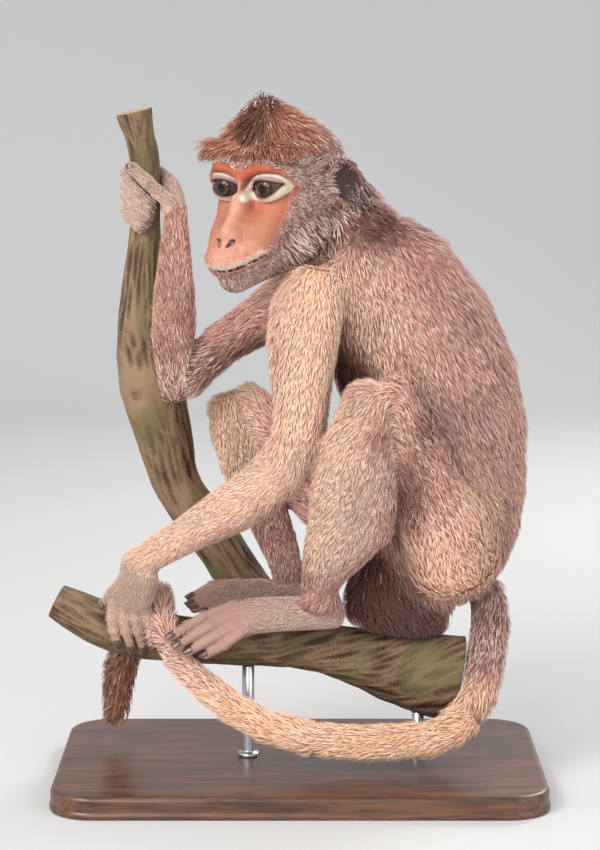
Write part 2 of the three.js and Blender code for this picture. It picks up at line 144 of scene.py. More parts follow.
def ball(points: Array, centre: tuple, radii: tuple) -> Array:
    """Distance to an ellipsoid, near its surface: k (k - 1) / |p / r^2| with k = |p / r|.

    Args:
        points: Places, in the last axis.
        centre: The ellipsoid's middle.
        radii: Its half lengths along the axes.

    Returns:
        One distance for each place, below 0 inside.
    """
    offset = points - np.array(centre, np.float32)
    scaled = np.linalg.norm(offset / np.array(radii, np.float32), axis=-1)
    slope = np.linalg.norm(offset / np.array(radii, np.float32) ** 2, axis=-1)
    return scaled * (scaled - 1) / np.maximum(slope, 1e-6)


def rod(points: Array, start: tuple, end: tuple, radius: float, end_radius: float | None = None) -> Array:
    """Distance to a round-ended rod whose radius goes evenly from one end's to the other's.

    Args:
        points: Places, in the last axis.
        start: One end of the rod's middle line.
        end: Its other end.
        radius: The radius at the start.
        end_radius: The radius at the end, where it is another one.

    Returns:
        One distance for each place, below 0 inside.
    """
    a, b = np.array(start, np.float32), np.array(end, np.float32)
    share = np.clip((points - a) @ (b - a) / ((b - a) @ (b - a)), 0, 1)
    last = radius if end_radius is None else end_radius
    return np.linalg.norm(points - a - share[..., None] * (b - a), axis=-1) - radius - share * (last - radius)


# ---------------------------------------------------------------- meshes


def read_mesh(mesh: bpy.types.Mesh) -> tuple[Array, Array]:
    """Reads a mesh.

    Args:
        mesh: The mesh.

    Returns:
        Its points in millimetres, and its triangles.
    """
    places = np.empty(len(mesh.vertices) * 3, np.float32)
    mesh.vertices.foreach_get("co", places)
    mesh.calc_loop_triangles()
    corners = np.empty(len(mesh.loop_triangles) * 3, np.int32)
    mesh.loop_triangles.foreach_get("vertices", corners)
    return places.reshape(-1, 3) / MM, corners.reshape(-1, 3)


def cad_surface(node: str) -> tuple[Array, Array]:
    """A CAD node's points in millimetres, with doubles merged, and its triangles.

    Args:
        node: The CAD node.

    Returns:
        The points and the triangles.
    """
    places, corners = read_mesh(frame["nodes"][node].data)
    merged, index = np.unique(np.round(places, 2), axis=0, return_inverse=True)
    return merged.astype(np.float32), index.reshape(-1)[corners]


def face_normals(points: Array, faces: Array) -> Array:
    """Normals as long as twice the faces' areas, from the cross product of each face's diagonals or edges."""
    if faces.shape[1] == 4:
        return np.cross(points[faces[:, 2]] - points[faces[:, 0]], points[faces[:, 3]] - points[faces[:, 1]])
    return np.cross(points[faces[:, 1]] - points[faces[:, 0]], points[faces[:, 2]] - points[faces[:, 0]])


def point_normals(points: Array, faces: Array) -> Array:
    """The mean normal of the faces round each point.

    Args:
        points: Places.
        faces: Triangles or quads.

    Returns:
        A direction of length one for each point.
    """
    normals = face_normals(points, faces)
    total = np.zeros_like(points)
    for axis in range(3):
        weights = np.repeat(normals[:, axis], faces.shape[1])
        total[:, axis] = np.bincount(faces.ravel(), weights, len(points))
    return unit(total)


def grid_faces(rows: int, columns: int, closed: bool = True) -> Array:
    """Quads of a grid of points.

    Args:
        rows: How many rows of points there are.
        columns: How many points each row has.
        closed: Whether each row closes into a ring.

    Returns:
        Rows of four point numbers.
    """
    row, column = np.mgrid[0:rows - 1, 0:columns if closed else columns - 1]
    after = (column + 1) % columns
    corners = (row * columns + column, row * columns + after, (row + 1) * columns + after,
               (row + 1) * columns + column)
    return np.stack(corners, -1).reshape(-1, 4)


def capped(rings: Array) -> tuple[Array, Array]:
    """Closes a stack of rings with a point at the middle of each end ring.

    Args:
        rings: Points by ring and place round it.

    Returns:
        The points, and the quads and triangles as rows of four, where a triangle repeats its last point.
    """
    rows, columns = rings.shape[:2]
    points = np.concatenate([rings.reshape(-1, 3), rings[0].mean(0)[None], rings[-1].mean(0)[None]])
    place = np.arange(columns)
    after = (place + 1) % columns
    first, last = rows * columns, rows * columns + 1
    top = (rows - 1) * columns
    start = np.stack([np.full(columns, first), after, place, place], -1)
    end = np.stack([np.full(columns, last), top + place, top + after, top + after], -1)
    return points, np.concatenate([grid_faces(rows, columns), start, end])


def build_mesh(name: str, points: Array, faces: Array,
               layers: dict[str, Array] | None = None) -> bpy.types.Object:
    """Writes points and faces into a new smooth object at the origin.

    Args:
        name: The object's name.
        points: Places in millimetres.
        faces: Triangles or quads; a row of four that repeats its last point is a triangle.
        layers: Four numbers for each point, by attribute name.

    Returns:
        The object, linked to the scene.
    """
    mesh = bpy.data.meshes.new(name)
    sizes = np.full(len(faces), faces.shape[1], np.int32)
    loops = faces.ravel()
    if faces.shape[1] == 4:
        sizes = np.where(faces[:, 2] == faces[:, 3], 3, 4).astype(np.int32)
        keep = np.ones(faces.shape, bool)
        keep[:, 3] = sizes == 4
        loops = faces[keep]
    mesh.vertices.add(len(points))
    mesh.vertices.foreach_set("co", (points * MM).astype(np.float32).ravel())
    mesh.loops.add(len(loops))
    mesh.loops.foreach_set("vertex_index", loops.astype(np.int32))
    mesh.polygons.add(len(faces))
    mesh.polygons.foreach_set("loop_start", np.concatenate([[0], np.cumsum(sizes)[:-1]]).astype(np.int32))
    mesh.polygons.foreach_set("use_smooth", np.ones(len(faces), bool))
    for title, values in (layers or {}).items():
        layer = mesh.attributes.new(title, "FLOAT_COLOR", "POINT")
        layer.data.foreach_set("color", values.astype(np.float32).ravel())
    mesh.update(calc_edges=True)
    piece = bpy.data.objects.new(name, mesh)
    bpy.context.scene.collection.objects.link(piece)
    return piece


def settle(piece: bpy.types.Object, material: bpy.types.Material) -> bpy.types.Object:
    """Gives a piece its material and lets it ride on the model's body.

    Args:
        piece: The piece.
        material: What it is made of.

    Returns:
        The same piece.
    """
    piece.data.materials.clear()
    piece.data.materials.append(material)
    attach(piece, BODY)
    triangles = sum(len(polygon.vertices) - 2 for polygon in piece.data.polygons)
    LOG.info("%s: %d triangles", piece.name, triangles)
    return piece


# ---------------------------------------------------------------- fields on a lattice


@dataclass(frozen=True)
class Lattice:
    """A regular box of sample places.

    Attributes:
        step: The distance between neighbours.
        low: The first place, in whole steps.
        shape: How many places there are along each axis.
    """

    step: float
    low: tuple[int, int, int]
    shape: tuple[int, int, int]

    @classmethod
    def around(cls, low: Array, high: Array, step: float) -> "Lattice":
        """The lattice that covers a box."""
        first = np.floor(np.array(low) / step).astype(int)
        last = np.ceil(np.array(high) / step).astype(int)
        return cls(step, tuple(int(x) for x in first), tuple(int(x) for x in last - first + 1))

    def window(self, low: Array, high: Array) -> "Lattice":
        """The part of this lattice that covers a box, from its low corner to its high one."""
        first = np.maximum(np.floor(np.array(low) / self.step).astype(int), self.low)
        last = np.minimum(np.ceil(np.array(high) / self.step).astype(int), np.array(self.low) + self.shape)
        return Lattice(self.step, tuple(int(x) for x in first), tuple(int(x) for x in last - first))

    def about(self, points: Array, margin: float) -> "Lattice":
        """The part of this lattice that covers some places with a margin round them."""
        return self.window(points.min(0) - margin, points.max(0) + margin)

    def slices(self, part: "Lattice") -> tuple[slice, ...]:
        """Where a window's samples stand in this lattice's arrays."""
        starts = np.array(part.low) - self.low
        return tuple(slice(int(a), int(a + n)) for a, n in zip(starts, part.shape))

    def places(self) -> Array:
        """Every sample place."""
        axes = [(first + np.arange(count, dtype=np.float32)) * self.step
                for first, count in zip(self.low, self.shape)]
        return np.stack(np.meshgrid(*axes, indexing="ij"), -1)

    def distances(self, points: Array, faces: Array, band: float) -> Array:
        """Measures how far every sample place lies from a closed mesh.

        Args:
            points: The mesh's points.
            faces: Its triangles or quads.
            band: The greatest distance that is told apart, on both sides.

        Returns:
            Distances, below 0 inside.
        """
        kind = "quads" if faces.shape[1] == 4 else "triangles"
        grid = openvdb.FloatGrid.createLevelSetFromPolygons(
            points.astype(np.float32), transform=openvdb.createLinearTransform(voxelSize=self.step),
            halfWidth=band / self.step, **{kind: faces.astype(np.uint32)})
        values = np.empty(self.shape, np.float32)
        grid.copyToArray(values, ijk=self.low)
        return values

    def surface(self, values: Array) -> tuple[Array, Array]:
        """Finds the surface where a field passes zero.

        Args:
            values: The field at every sample place.

        Returns:
            The surface's points, and its quads, which face outwards.
        """
        grid = openvdb.FloatGrid(float(values.max()))
        grid.transform = openvdb.createLinearTransform(voxelSize=self.step)
        grid.copyFromArray(np.ascontiguousarray(values), ijk=self.low)
        points, quads = grid.convertToQuads(isovalue=0)
        quads = quads.astype(np.int64)
        if (face_normals(points, quads) * points[quads[:, 0]]).sum() < 0:
            quads = quads[:, ::-1]
        return points, quads

    def sample(self, values: Array, points: Array) -> Array:
        """Values between the sample places: each corner of a place's cell counts by how near it is.

        Args:
            values: The field at every sample place, with one number or several for each.
            points: Places.

        Returns:
            The field there.
        """
        spot = points / self.step - np.array(self.low)
        spot = np.clip(spot, 0, np.array(self.shape) - 1.001)
        corner = spot.astype(np.int32)
        share = spot - corner
        total = 0
        for i in (0, 1):
            for j in (0, 1):
                for k in (0, 1):
                    weight = (np.abs(1 - i - share[:, 0]) * np.abs(1 - j - share[:, 1])
                              * np.abs(1 - k - share[:, 2]))
                    found = values[corner[:, 0] + i, corner[:, 1] + j, corner[:, 2] + k]
                    total = total + found * (weight[:, None] if values.ndim == 4 else weight)
        return total


def blurred(values: Array, passes: int) -> Array:
    """Averages each sample with its neighbours, a quarter from each side, along each axis in turn.

    Args:
        values: The field at every sample place.
        passes: How often it is averaged.

    Returns:
        The smoothed field.
    """
    for _ in range(passes):
        for axis in range(3):
            ahead = np.roll(values, -1, axis)
            behind = np.roll(values, 1, axis)
            values = 0.5 * values + 0.25 * (ahead + behind)
    return values


# ---------------------------------------------------------------- the head


@dataclass(frozen=True)
class Head:
    """The bare head: skull, muzzle, lids and lips, in its own frame of forward, left and up.

    Attributes:
        pitch: Degrees that the face looks down.
        eye_forward: From the skull's joint to the middle of an eyeball.
        eye_up: The same, upwards.
        lid: Thickness of a lid over the eyeball.
        opening: Half the length of the opening between the lids.
        slant: Degrees that the outer corner of the eye is raised.
        ear_middle: The middle of the left ear.
    """

    pitch: float = 12.0
    eye_forward: float = 40.5
    eye_up: float = 7.5
    lid: float = 1.7
    opening: float = 13.4
    slant: float = 9.0
    ear_middle: tuple = (-13.0, 51.5, -2.0)

    @cached_property
    def eyes(self) -> dict[int, Array]:
        """The middle of each eyeball: 1 for the left and -1 for the right.

        Returns:
            Two places, by side.
        """
        found = {}
        for side, node in ((1, "eye_left"), (-1, "eye_right")):
            low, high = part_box(node)
            found[side] = (np.array(low) + np.array(high)) / 2 / MM
        return found

    @cached_property
    def eye_radius(self) -> float:
        """The eyeball's radius."""
        low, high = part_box("eye_left")
        return max(high - low) / 2 / MM

    @cached_property
    def axes(self) -> Array:
        """Rows that point forward, left and up: the eyes give left, and the pitch tips the other two."""
        left = unit(self.eyes[1] - self.eyes[-1])
        level = np.cross(left, [0.0, 0.0, 1.0])
        tip = math.radians(self.pitch)
        forward = level * math.cos(tip) - np.array([0, 0, math.sin(tip)])
        return np.stack([forward, left, np.cross(forward, left)])

    @cached_property
    def origin(self) -> Array:
        """The skull's joint."""
        middle = (self.eyes[1] + self.eyes[-1]) / 2
        return middle - self.eye_forward * self.axes[0] - self.eye_up * self.axes[2]

    @cached_property
    def eye_apart(self) -> float:
        """Half the distance between the eyes."""
        return float(np.linalg.norm(self.eyes[1] - self.eyes[-1]) / 2)

    def local(self, points: Array) -> Array:
        """Places in the head's frame."""
        return ((points - self.origin) @ self.axes.T).astype(np.float32)

    def world(self, points: Array) -> Array:
        """Places in the model's frame, from the head's."""
        return np.asarray(points, float) @ self.axes + self.origin

    def turned(self, ways: Array) -> Array:
        """Directions in the model's frame, from the head's."""
        return np.asarray(ways, float) @ self.axes

    def beside_eye(self, p: Array) -> tuple[Array, Array, Array]:
        """Places seen from the eye of their own side.

        Args:
            p: Places in the head's frame.

        Returns:
            How far they lie outwards along the slanted lids, up across them, and forward.
        """
        side = np.abs(p[..., 1]) - self.eye_apart
        up = p[..., 2] - self.eye_up
        tip = math.radians(self.slant)
        return (side * math.cos(tip) + up * math.sin(tip), up * math.cos(tip) - side * math.sin(tip),
                p[..., 0] - self.eye_forward)

    def mouth_line(self, p: Array) -> Array:
        """Height above the line where the lips meet, which rises from the middle to the corners."""
        return p[..., 2] + 47.5 - 5.5 * np.clip(np.abs(p[..., 1]) / 22, 0, 1.2) ** 2

    def bulk(self, p: Array) -> Array:
        """The skull and jaws: ellipsoids and rods that flow into each other.

        Args:
            p: Places in the head's frame.

        Returns:
            Distances, below 0 inside.
        """
        m = mirrored(p)
        brow = soft_min(rod(m, (46, 0, 17.5), (45.5, 22, 20.0), 8.0, 7.2),
                        rod(m, (45.5, 22, 20.0), (32, 36, 12), 7.2, 6), 4)
        brow = soft_min(brow, rod(m, (32, 36, 12), (22, 37, -2), 6, 5), 5)
        bridge = soft_min(rod(m, (46, 0, 12), (57, 0, -6), 7.5, 7.5),
                          rod(m, (57, 0, -6), (72.5, 0, -20), 7.5, 6.5), 4)
        cranium = ball(m, (-7, 0, 7), (49, 41, 38))
        face = ball(m, (14, 0, -12), (36, 38, 36))
        cheek = rod(m, (20, 27, -14), (-6, 32, -10), 9)
        jaw = rod(m, (6, 24, -34), (52, 10, -50), 13, 11)
        muzzle = rod(m, (34, 0, -28), (63, 0, -38.5), 25, 17.5)
        mouth = ball(m, (74, 0, -41), (18.5, 21, 12))
        snout = ball(m, (57, 0, -28), (17, 26.5, 14))
        chin = rod(m, (38, 0, -52), (74, 0, -56), 15, 12.0)
        cheekbone = rod(m, (36, 25, -10), (62, 16, -33), 9.5, 10.0)
        shape = cranium
        for part, softness in ((face, 10), (cheek, 12), (jaw, 10), (muzzle, 9), (mouth, 13), (snout, 9),
                               (chin, 6), (cheekbone, 10), (brow, 8), (bridge, 6)):
            shape = soft_min(shape, part, softness)
        return shape

    def nose(self, p: Array, shape: Array) -> Array:
        """Adds the tip and wings of the nose and sinks the nostrils.

        Args:
            p: Places in the head's frame.
            shape: Distances to the head so far.

        Returns:
            Distances with the nose.
        """
        m = mirrored(p)
        shape = soft_min(shape, ball(m, (76, 0, -21), (6, 6, 5.5)), 4)
        shape = soft_min(shape, ball(m, (74.5, 7.0, -25), (6, 4.2, 5)), 3)
        shape = soft_min(shape, rod(m, (78, 0, -26), (81, 0, -33), 3.2, 3), 3)
        slit = soft_min(rod(m, (83.5, 3.2, -30.5), (80.5, 6.0, -27.5), 1.2, 2.1),
                        rod(m, (80.5, 6.0, -27.5), (77, 9.0, -24.5), 2.1, 0.9), 1)
        shape = soft_max(shape, -slit, 1.2)
        groove = np.exp(-(np.minimum(rod(m, (68, 10.5, -17), (76, 13.2, -27), 0), 9) / 1.6) ** 2)
        return shape + 0.5 * groove

    def between_lids(self, along: Array, across: Array) -> Array:
        """The opening between the lids.

        Args:
            along: How far places lie outwards from the eye's middle, along the lids.
            across: How far up they lie.

        Returns:
            How deep they lie between the edges of the lids, and below 0 where the lids cover them.
        """
        half = np.clip(1 - (along / self.opening) ** 2, 0, 1)
        above = 6.6 * half ** 0.75 * (1 - 0.012 * along) - across
        below = 6.4 * half ** 0.8 * (1 - 0.015 * along) + across
        return np.minimum(above, below) * 0.75

    def lids(self, p: Array, shape: Array) -> Array:
        """Hollows the sockets, lays the lids over the eyeballs and opens them.

        Args:
            p: Places in the head's frame.
            shape: Distances to the head so far.

        Returns:
            Distances with the lids.
        """
        along, across, ahead = self.beside_eye(p)
        eye = np.stack([ahead, np.abs(p[..., 1]) - self.eye_apart, p[..., 2] - self.eye_up], -1)
        socket = ball(eye, (12, 0.5, 1.5), (11, 17.5, 12))
        shape = soft_max(shape, -socket, 5)
        cover = np.linalg.norm(eye, axis=-1) - self.eye_radius - self.lid
        shape = soft_min(shape, cover, 3.0)
        gap = np.where((ahead > 0) & (np.abs(along) < self.opening), self.between_lids(along, across), -2.0)
        shape = soft_max(shape, gap, 0.9)
        # A fold over the upper lid and a soft one beneath the lower.
        ring = np.sqrt((along / 18.5) ** 2 + (across / np.where(across > 0, 11.5, 9.5)) ** 2)
        front = rise(ahead, 0, 6)
        fold = np.exp(-((ring - 1) / 0.07) ** 2) * np.where(across > 0, 1.0, 0.35)
        return shape + 1.1 * fold * front

    def lips(self, p: Array, shape: Array) -> Array:
        """Swells the lips and parts them with a slot three millimetres deep.

        Args:
            p: Places in the head's frame.
            shape: Distances to the head so far.

        Returns:
            Distances with the lips.
        """
        height = self.mouth_line(p)
        front = rise(p[..., 0], 58, 72)
        swell = 1.5 * np.exp(-((height - 3.2) / 3.0) ** 2) + 1.3 * np.exp(-((height + 3.2) / 2.6) ** 2)
        shape = shape - swell * front
        slot = np.maximum(np.abs(height) - 0.45, -(shape + 3.0)) + 4 * (1 - rise(p[..., 0], 66, 75))
        # The groove under the nose and the crease from the nose's wing to the mouth's corner.
        m = mirrored(p)
        crease = np.exp(-(np.minimum(rod(m, (74, 14, -27), (69, 23, -40), 0), 9) / 1.8) ** 2)
        groove = np.exp(-(p[..., 1] / 1.5) ** 2) * rise(height, 3, 7) * rise(-height, -15, -9) * front
        return soft_max(shape + 0.4 * crease + 0.4 * groove, -slot, 0.9)

    def in_ear(self, p: Array, flare: float = 50.0, lean: float = 16.0) -> tuple[Array, Array, Array]:
        """Places beside an ear in its own frame.

        Args:
            p: Places in the head's frame.
            flare: Degrees that the ear stands out from the side of the head.
            lean: Degrees that its top leans forward.

        Returns:
            The places across, out of and up the ear, how far out they lie, with 1 at the rim, and the cup's
            depth.
        """
        turn, tip = math.radians(flare), math.radians(lean)
        axes = np.array([(math.cos(turn) * math.cos(tip), -math.sin(turn) * math.cos(tip), -math.sin(tip)),
                         (math.sin(turn), math.cos(turn), 0),
                         (math.cos(turn) * math.sin(tip), -math.sin(turn) * math.sin(tip), math.cos(tip))])
        m = ((mirrored(p) - np.array(self.ear_middle)) @ axes.T).astype(np.float32)
        out = np.sqrt((m[..., 0] / 12.5) ** 2 + (m[..., 2] / 17.5) ** 2)
        return m, out, 4.0 * np.minimum(out, 1.3) ** 2 - 2.8

    def ear(self, p: Array) -> Array:
        """A thin cupped ear with a rolled rim and an inner fold, and the stem that holds it.

        Args:
            p: Places in the head's frame.

        Returns:
            Distances, below 0 inside.
        """
        m, out, cup = self.in_ear(p)
        x, y, z = m[..., 0], m[..., 1], m[..., 2]
        shape = soft_max(np.abs(y - cup) - 1.3, (out - 1) * 13, 1.5)
        shape = soft_min(shape, np.hypot((out - 0.97) * 13.5, y - cup - 0.4) - 1.9, 1.2)
        fold = np.hypot((out - 0.62) * 13.5, y - cup - 0.8) - 1.1 + 3 * rise(x, 2, 9) + 3 * rise(-z, 2, 9)
        shape = soft_min(shape, fold, 1.5)
        shape = soft_min(shape, rod(m, (10.5, 1.5, -6), (12, -3, -9), 2.6, 4), 2)
        return soft_min(shape, rod(m, (9, -3.5, -2), (16, -13, -2), 5.5, 9), 4)

    def field(self, points: Array) -> Array:
        """The whole head.

        Args:
            points: Places in the model's frame.

        Returns:
            Distances to the head's skin, below 0 inside.
        """
        p = self.local(points)
        shape = self.bulk(p)
        shape = self.nose(p, shape)
        shape = self.lids(p, shape)
        shape = self.lips(p, shape)
        beside = np.flatnonzero((np.abs(p[..., 1]) > 28).ravel() & (p[..., 0] < 15).ravel())
        flat = shape.reshape(-1)
        flat[beside] = soft_min(flat[beside], self.ear(p.reshape(-1, 3)[beside]), 3)
        return flat.reshape(shape.shape)


# ---------------------------------------------------------------- the parts of the body


class Cover(Enum):
    """What clothes a part."""

    COAT = "coat"
    TAIL = "tail"
    BARE = "bare"


class Trait(IntEnum):
    """Where each trait of the hair stands in a row: the last is a direction and takes three places."""

    DEPTH = 0
    LENGTH = 1
    LIFT = 2
    WIDTH = 3
    BARE = 4
    WAY = 5


@dataclass(frozen=True)
class Part:
    """One length of the body, and how its hair grows.

    Attributes:
        node: Its CAD node.
        before: The node nearer the heart.
        after: The node further out, or None at an end.
        depth: How far the skin lies inside the tips of the coat.
        length: The hair's length.
        lift: Degrees that the hair leaves the skin at.
        width: A tuft's width.
        cover: What clothes it.
        coat: The coat piece that its hair belongs to.
    """

    node: str
    before: str
    after: str | None
    depth: float
    length: float
    lift: float
    width: float
    cover: Cover
    coat: str


def limbs() -> list[Part]:
    """Arms and legs of both sides, from the trunk outwards.

    Returns:
        The parts.
    """
    parts = []
    for side in ("left", "right"):
        arm, fore, hand = (f"{name}_{side}" for name in ("arm_upper", "forearm", "hand"))
        thigh, shin, foot = (f"{name}_{side}" for name in ("thigh", "shin", "foot"))
        coat = f"coat_arm_{side}"
        leg = f"coat_leg_{side}"
        parts += [
            Part(arm, "trunk", fore, 4.4, 14, 24, 1.0, Cover.COAT, coat),
            Part(fore, arm, hand, 3.4, 11, 22, 0.9, Cover.COAT, coat),
            Part(hand, fore, None, 1.3, 4.5, 12, 0.5, Cover.BARE, coat),
            Part(thigh, "trunk", shin, 4.8, 15, 24, 1.1, Cover.COAT, leg),
            Part(shin, thigh, foot, 4.0, 12, 22, 1.0, Cover.COAT, leg),
            Part(foot, shin, None, 1.3, 4.5, 12, 0.5, Cover.BARE, leg),
        ]
    return parts


def tail_parts() -> list[Part]:
    """The tail's lengths, from the rump to the brush.

    Returns:
        The parts.
    """
    count = 5
    names = [f"tail_{k + 1}" for k in range(count)]
    return [
        Part(name, names[k - 1] if k else "trunk", names[k + 1] if k + 1 < count else None,
             4.6, 14 if k < count - 1 else 17, 24, 1.1, Cover.TAIL, "coat_tail")
        for k, name in enumerate(names)
    ]


PARTS = [
    Part("neck", "head", "trunk", 6.2, 18, 28, 1.1, Cover.COAT, "coat_neck"),
    Part("trunk", "neck", "tail_1", 5.2, 17, 26, 1.15, Cover.COAT, "coat_trunk"),
    *limbs(),
    *tail_parts(),
]
FLESH = ["head", "ear_left", "ear_right"] + [part.node for part in PARTS]


def scattered(node: str, count: int, seed: int) -> Array:
    """Random places all over a CAD node's surface.

    Args:
        node: The CAD node.
        count: How many places.
        seed: Chooses them.

    Returns:
        The places.
    """
    points, faces = cad_surface(node)
    rng = np.random.default_rng(seed)
    areas = np.linalg.norm(face_normals(points, faces), axis=1)
    chosen = faces[rng.choice(len(faces), count, p=areas / areas.sum())]
    a, b = np.sqrt(rng.random((count, 1))), rng.random((count, 1))
    return points[chosen[:, 0]] * (1 - a) + points[chosen[:, 1]] * a * (1 - b) + points[chosen[:, 2]] * a * b


def meeting(first: Array, second: Array, reach: float = 5.0) -> Array:
    """The middle of where two scattered surfaces come within reach of each other.

    Args:
        first: Places on one surface.
        second: Places on the other.
        reach: How near they have to come.

    Returns:
        The middle.
    """
    apart = np.linalg.norm(first[:, None] - second[None], axis=-1).min(1)
    near = apart < max(reach, float(np.quantile(apart, 0.01)))
    return first[near].mean(0)


@dataclass(frozen=True)
class Digit:
    """A finger, thumb or toe, along the path of its joints.

    Attributes:
        path: Its joints, from the palm to the tip.
        radius: Its radius at the first joint.
        back: The way that its nail faces.
        web: How softly it joins the hand.
    """

    path: Array
    radius: float
    back: Array
    web: float = 2.0

    def girth(self, joint: int) -> float:
        """The radius at a joint, a sixteenth less at each."""
        return self.radius * (1 - 0.06 * joint)

    def field(self, points: Array) -> Array:
        """Distance to its skin: a rod for each bone and a swelling at each knuckle.

        Args:
            points: Places, in the last axis.

        Returns:
            One distance for each place, below 0 inside.
        """
        shape = rod(points, self.path[0], self.path[1], self.girth(0), self.girth(1))
        for joint in range(1, len(self.path) - 1):
            start, end = self.path[joint], self.path[joint + 1]
            shape = soft_min(shape, rod(points, start, end, self.girth(joint), self.girth(joint + 1)), 1.0)
            knuckle = np.linalg.norm(points - start.astype(np.float32), axis=-1) - self.girth(joint) - 0.35
            shape = soft_min(shape, knuckle, 1.4)
        return shape


@dataclass(frozen=True)
class Paw:
    """A hand or foot: four digits spread evenly between the first and the last, and a thumb or great toe.

    Attributes:
        first: Path of the first digit.
        last: Path of the last digit.
        thumb: Path of the thumb or great toe.
        radius: Radius of a digit.
        longer: How much further the middle digits reach.
        back: The way that the nails face, or None where they face away from the limb in the grip.
        thumb_share: The thumb's radius as a share of a digit's.
    """

    first: Array
    last: Array
    thumb: Array
    radius: float
    longer: float
    back: tuple | None = None
    thumb_share: float = 1.1

    def facing(self, path: Array) -> Array:
        """The way that a nail at the end of a path faces.

        Args:
            path: The path of a digit.

        Returns:
            A direction of length one, square to the last bone.
        """
        away = np.array(self.back) if self.back else path[-1] - np.array([*GRIP[:2], path[-1][2]])
        along = unit(path[-1] - path[-2])
        return unit(away - (away @ along) * along)

    def digits(self) -> list[Digit]:
        """The four digits and the thumb.

        Returns:
            The thumb first, then the digits in order.
        """
        made = [Digit(self.thumb, self.radius * self.thumb_share, self.facing(self.thumb))]
        for share in np.linspace(0, 1, 4):
            path = self.first * (1 - share) + self.last * share
            path[-1] += unit(path[-1] - path[-2]) * self.longer * math.sin(math.pi * share)
            made.append(Digit(path, self.radius, self.facing(path)))
        return made


GRIP = (-124.5, 40.0, 478.0)  # the middle of the limb in the right hand
GRIP_RADIUS = 12.4  # the limb's own, there
FINGER = 4.0  # radius of a finger
TOE = 3.9  # radius of a toe


def round_grip(angles: list[float], heights: list[float], clear: list[float] | None = None) -> Array:
    """A path round the limb in the right hand.

    Args:
        angles: Degrees round the limb at each joint.
        heights: Height of each joint above the middle of the grip.
        clear: How much further out each joint lies than a finger laid on the bark.

    Returns:
        The joints.
    """
    turn = np.radians(angles)
    out = GRIP_RADIUS + FINGER + np.array(clear or [0] * len(angles))
    x, y, z = GRIP
    return np.stack([x + out * np.cos(turn), y + out * np.sin(turn), z + np.array(heights)], -1)


def paws() -> list[Paw]:
    """Hands and feet: the left hand over the branch, the right round the limb, both feet on the branch.

    Returns:
        The four of them.
    """
    left_hand = Paw(
        first=np.array([(-148, -27, 152), (-150, -29, 139), (-149, -27, 128), (-146, -24.5, 118)], float),
        last=np.array([(-124, -30, 150), (-122, -30, 138), (-119, -28, 127), (-117, -25, 117)], float),
        thumb=np.array([(-140, -32, 170), (-150, -24, 158), (-157, -17, 148)], float),
        radius=FINGER, longer=6, back=(-0.15, -1, 0.1), thumb_share=1.0)
    angles = [84, 130, 175, 215, 255]
    right_hand = Paw(
        first=round_grip([*angles, 292], [16, 17, 11, 4, -5, -14]),
        last=round_grip([*angles, 266], [-8, -13, -18, -24, -31, -33]),
        thumb=np.array([(-102, 22, 465), *round_grip([-52, -82, -126], [-4, 5, 16], [2, 0.5, 0])], float),
        radius=FINGER, longer=2, thumb_share=1.15)
    left_foot = Paw(
        first=np.array([(-52, -28, 150), (-77, -40, 142), (-102, -48, 128)], float),
        last=np.array([(-46, -43, 130), (-60, -46, 120), (-75, -44, 112)], float),
        thumb=np.array([(-22, -22, 144), (-38, -10, 142), (-52, 0, 139)], float),
        radius=TOE, longer=5, back=(0, -0.68, 0.73), thumb_share=1.2)
    right_foot = Paw(
        first=np.array([(-50, 27, 154), (-72, 24, 154), (-89, 15, 146)], float),
        last=np.array([(-48, 9, 142), (-64, 3, 140), (-78, -4, 138)], float),
        thumb=np.array([(-26, 40, 142), (-42, 42, 136), (-56, 38, 128)], float),
        radius=TOE, longer=5, back=(0, -0.4, 0.9), thumb_share=1.2)
    return [left_hand, right_hand, left_foot, right_foot]


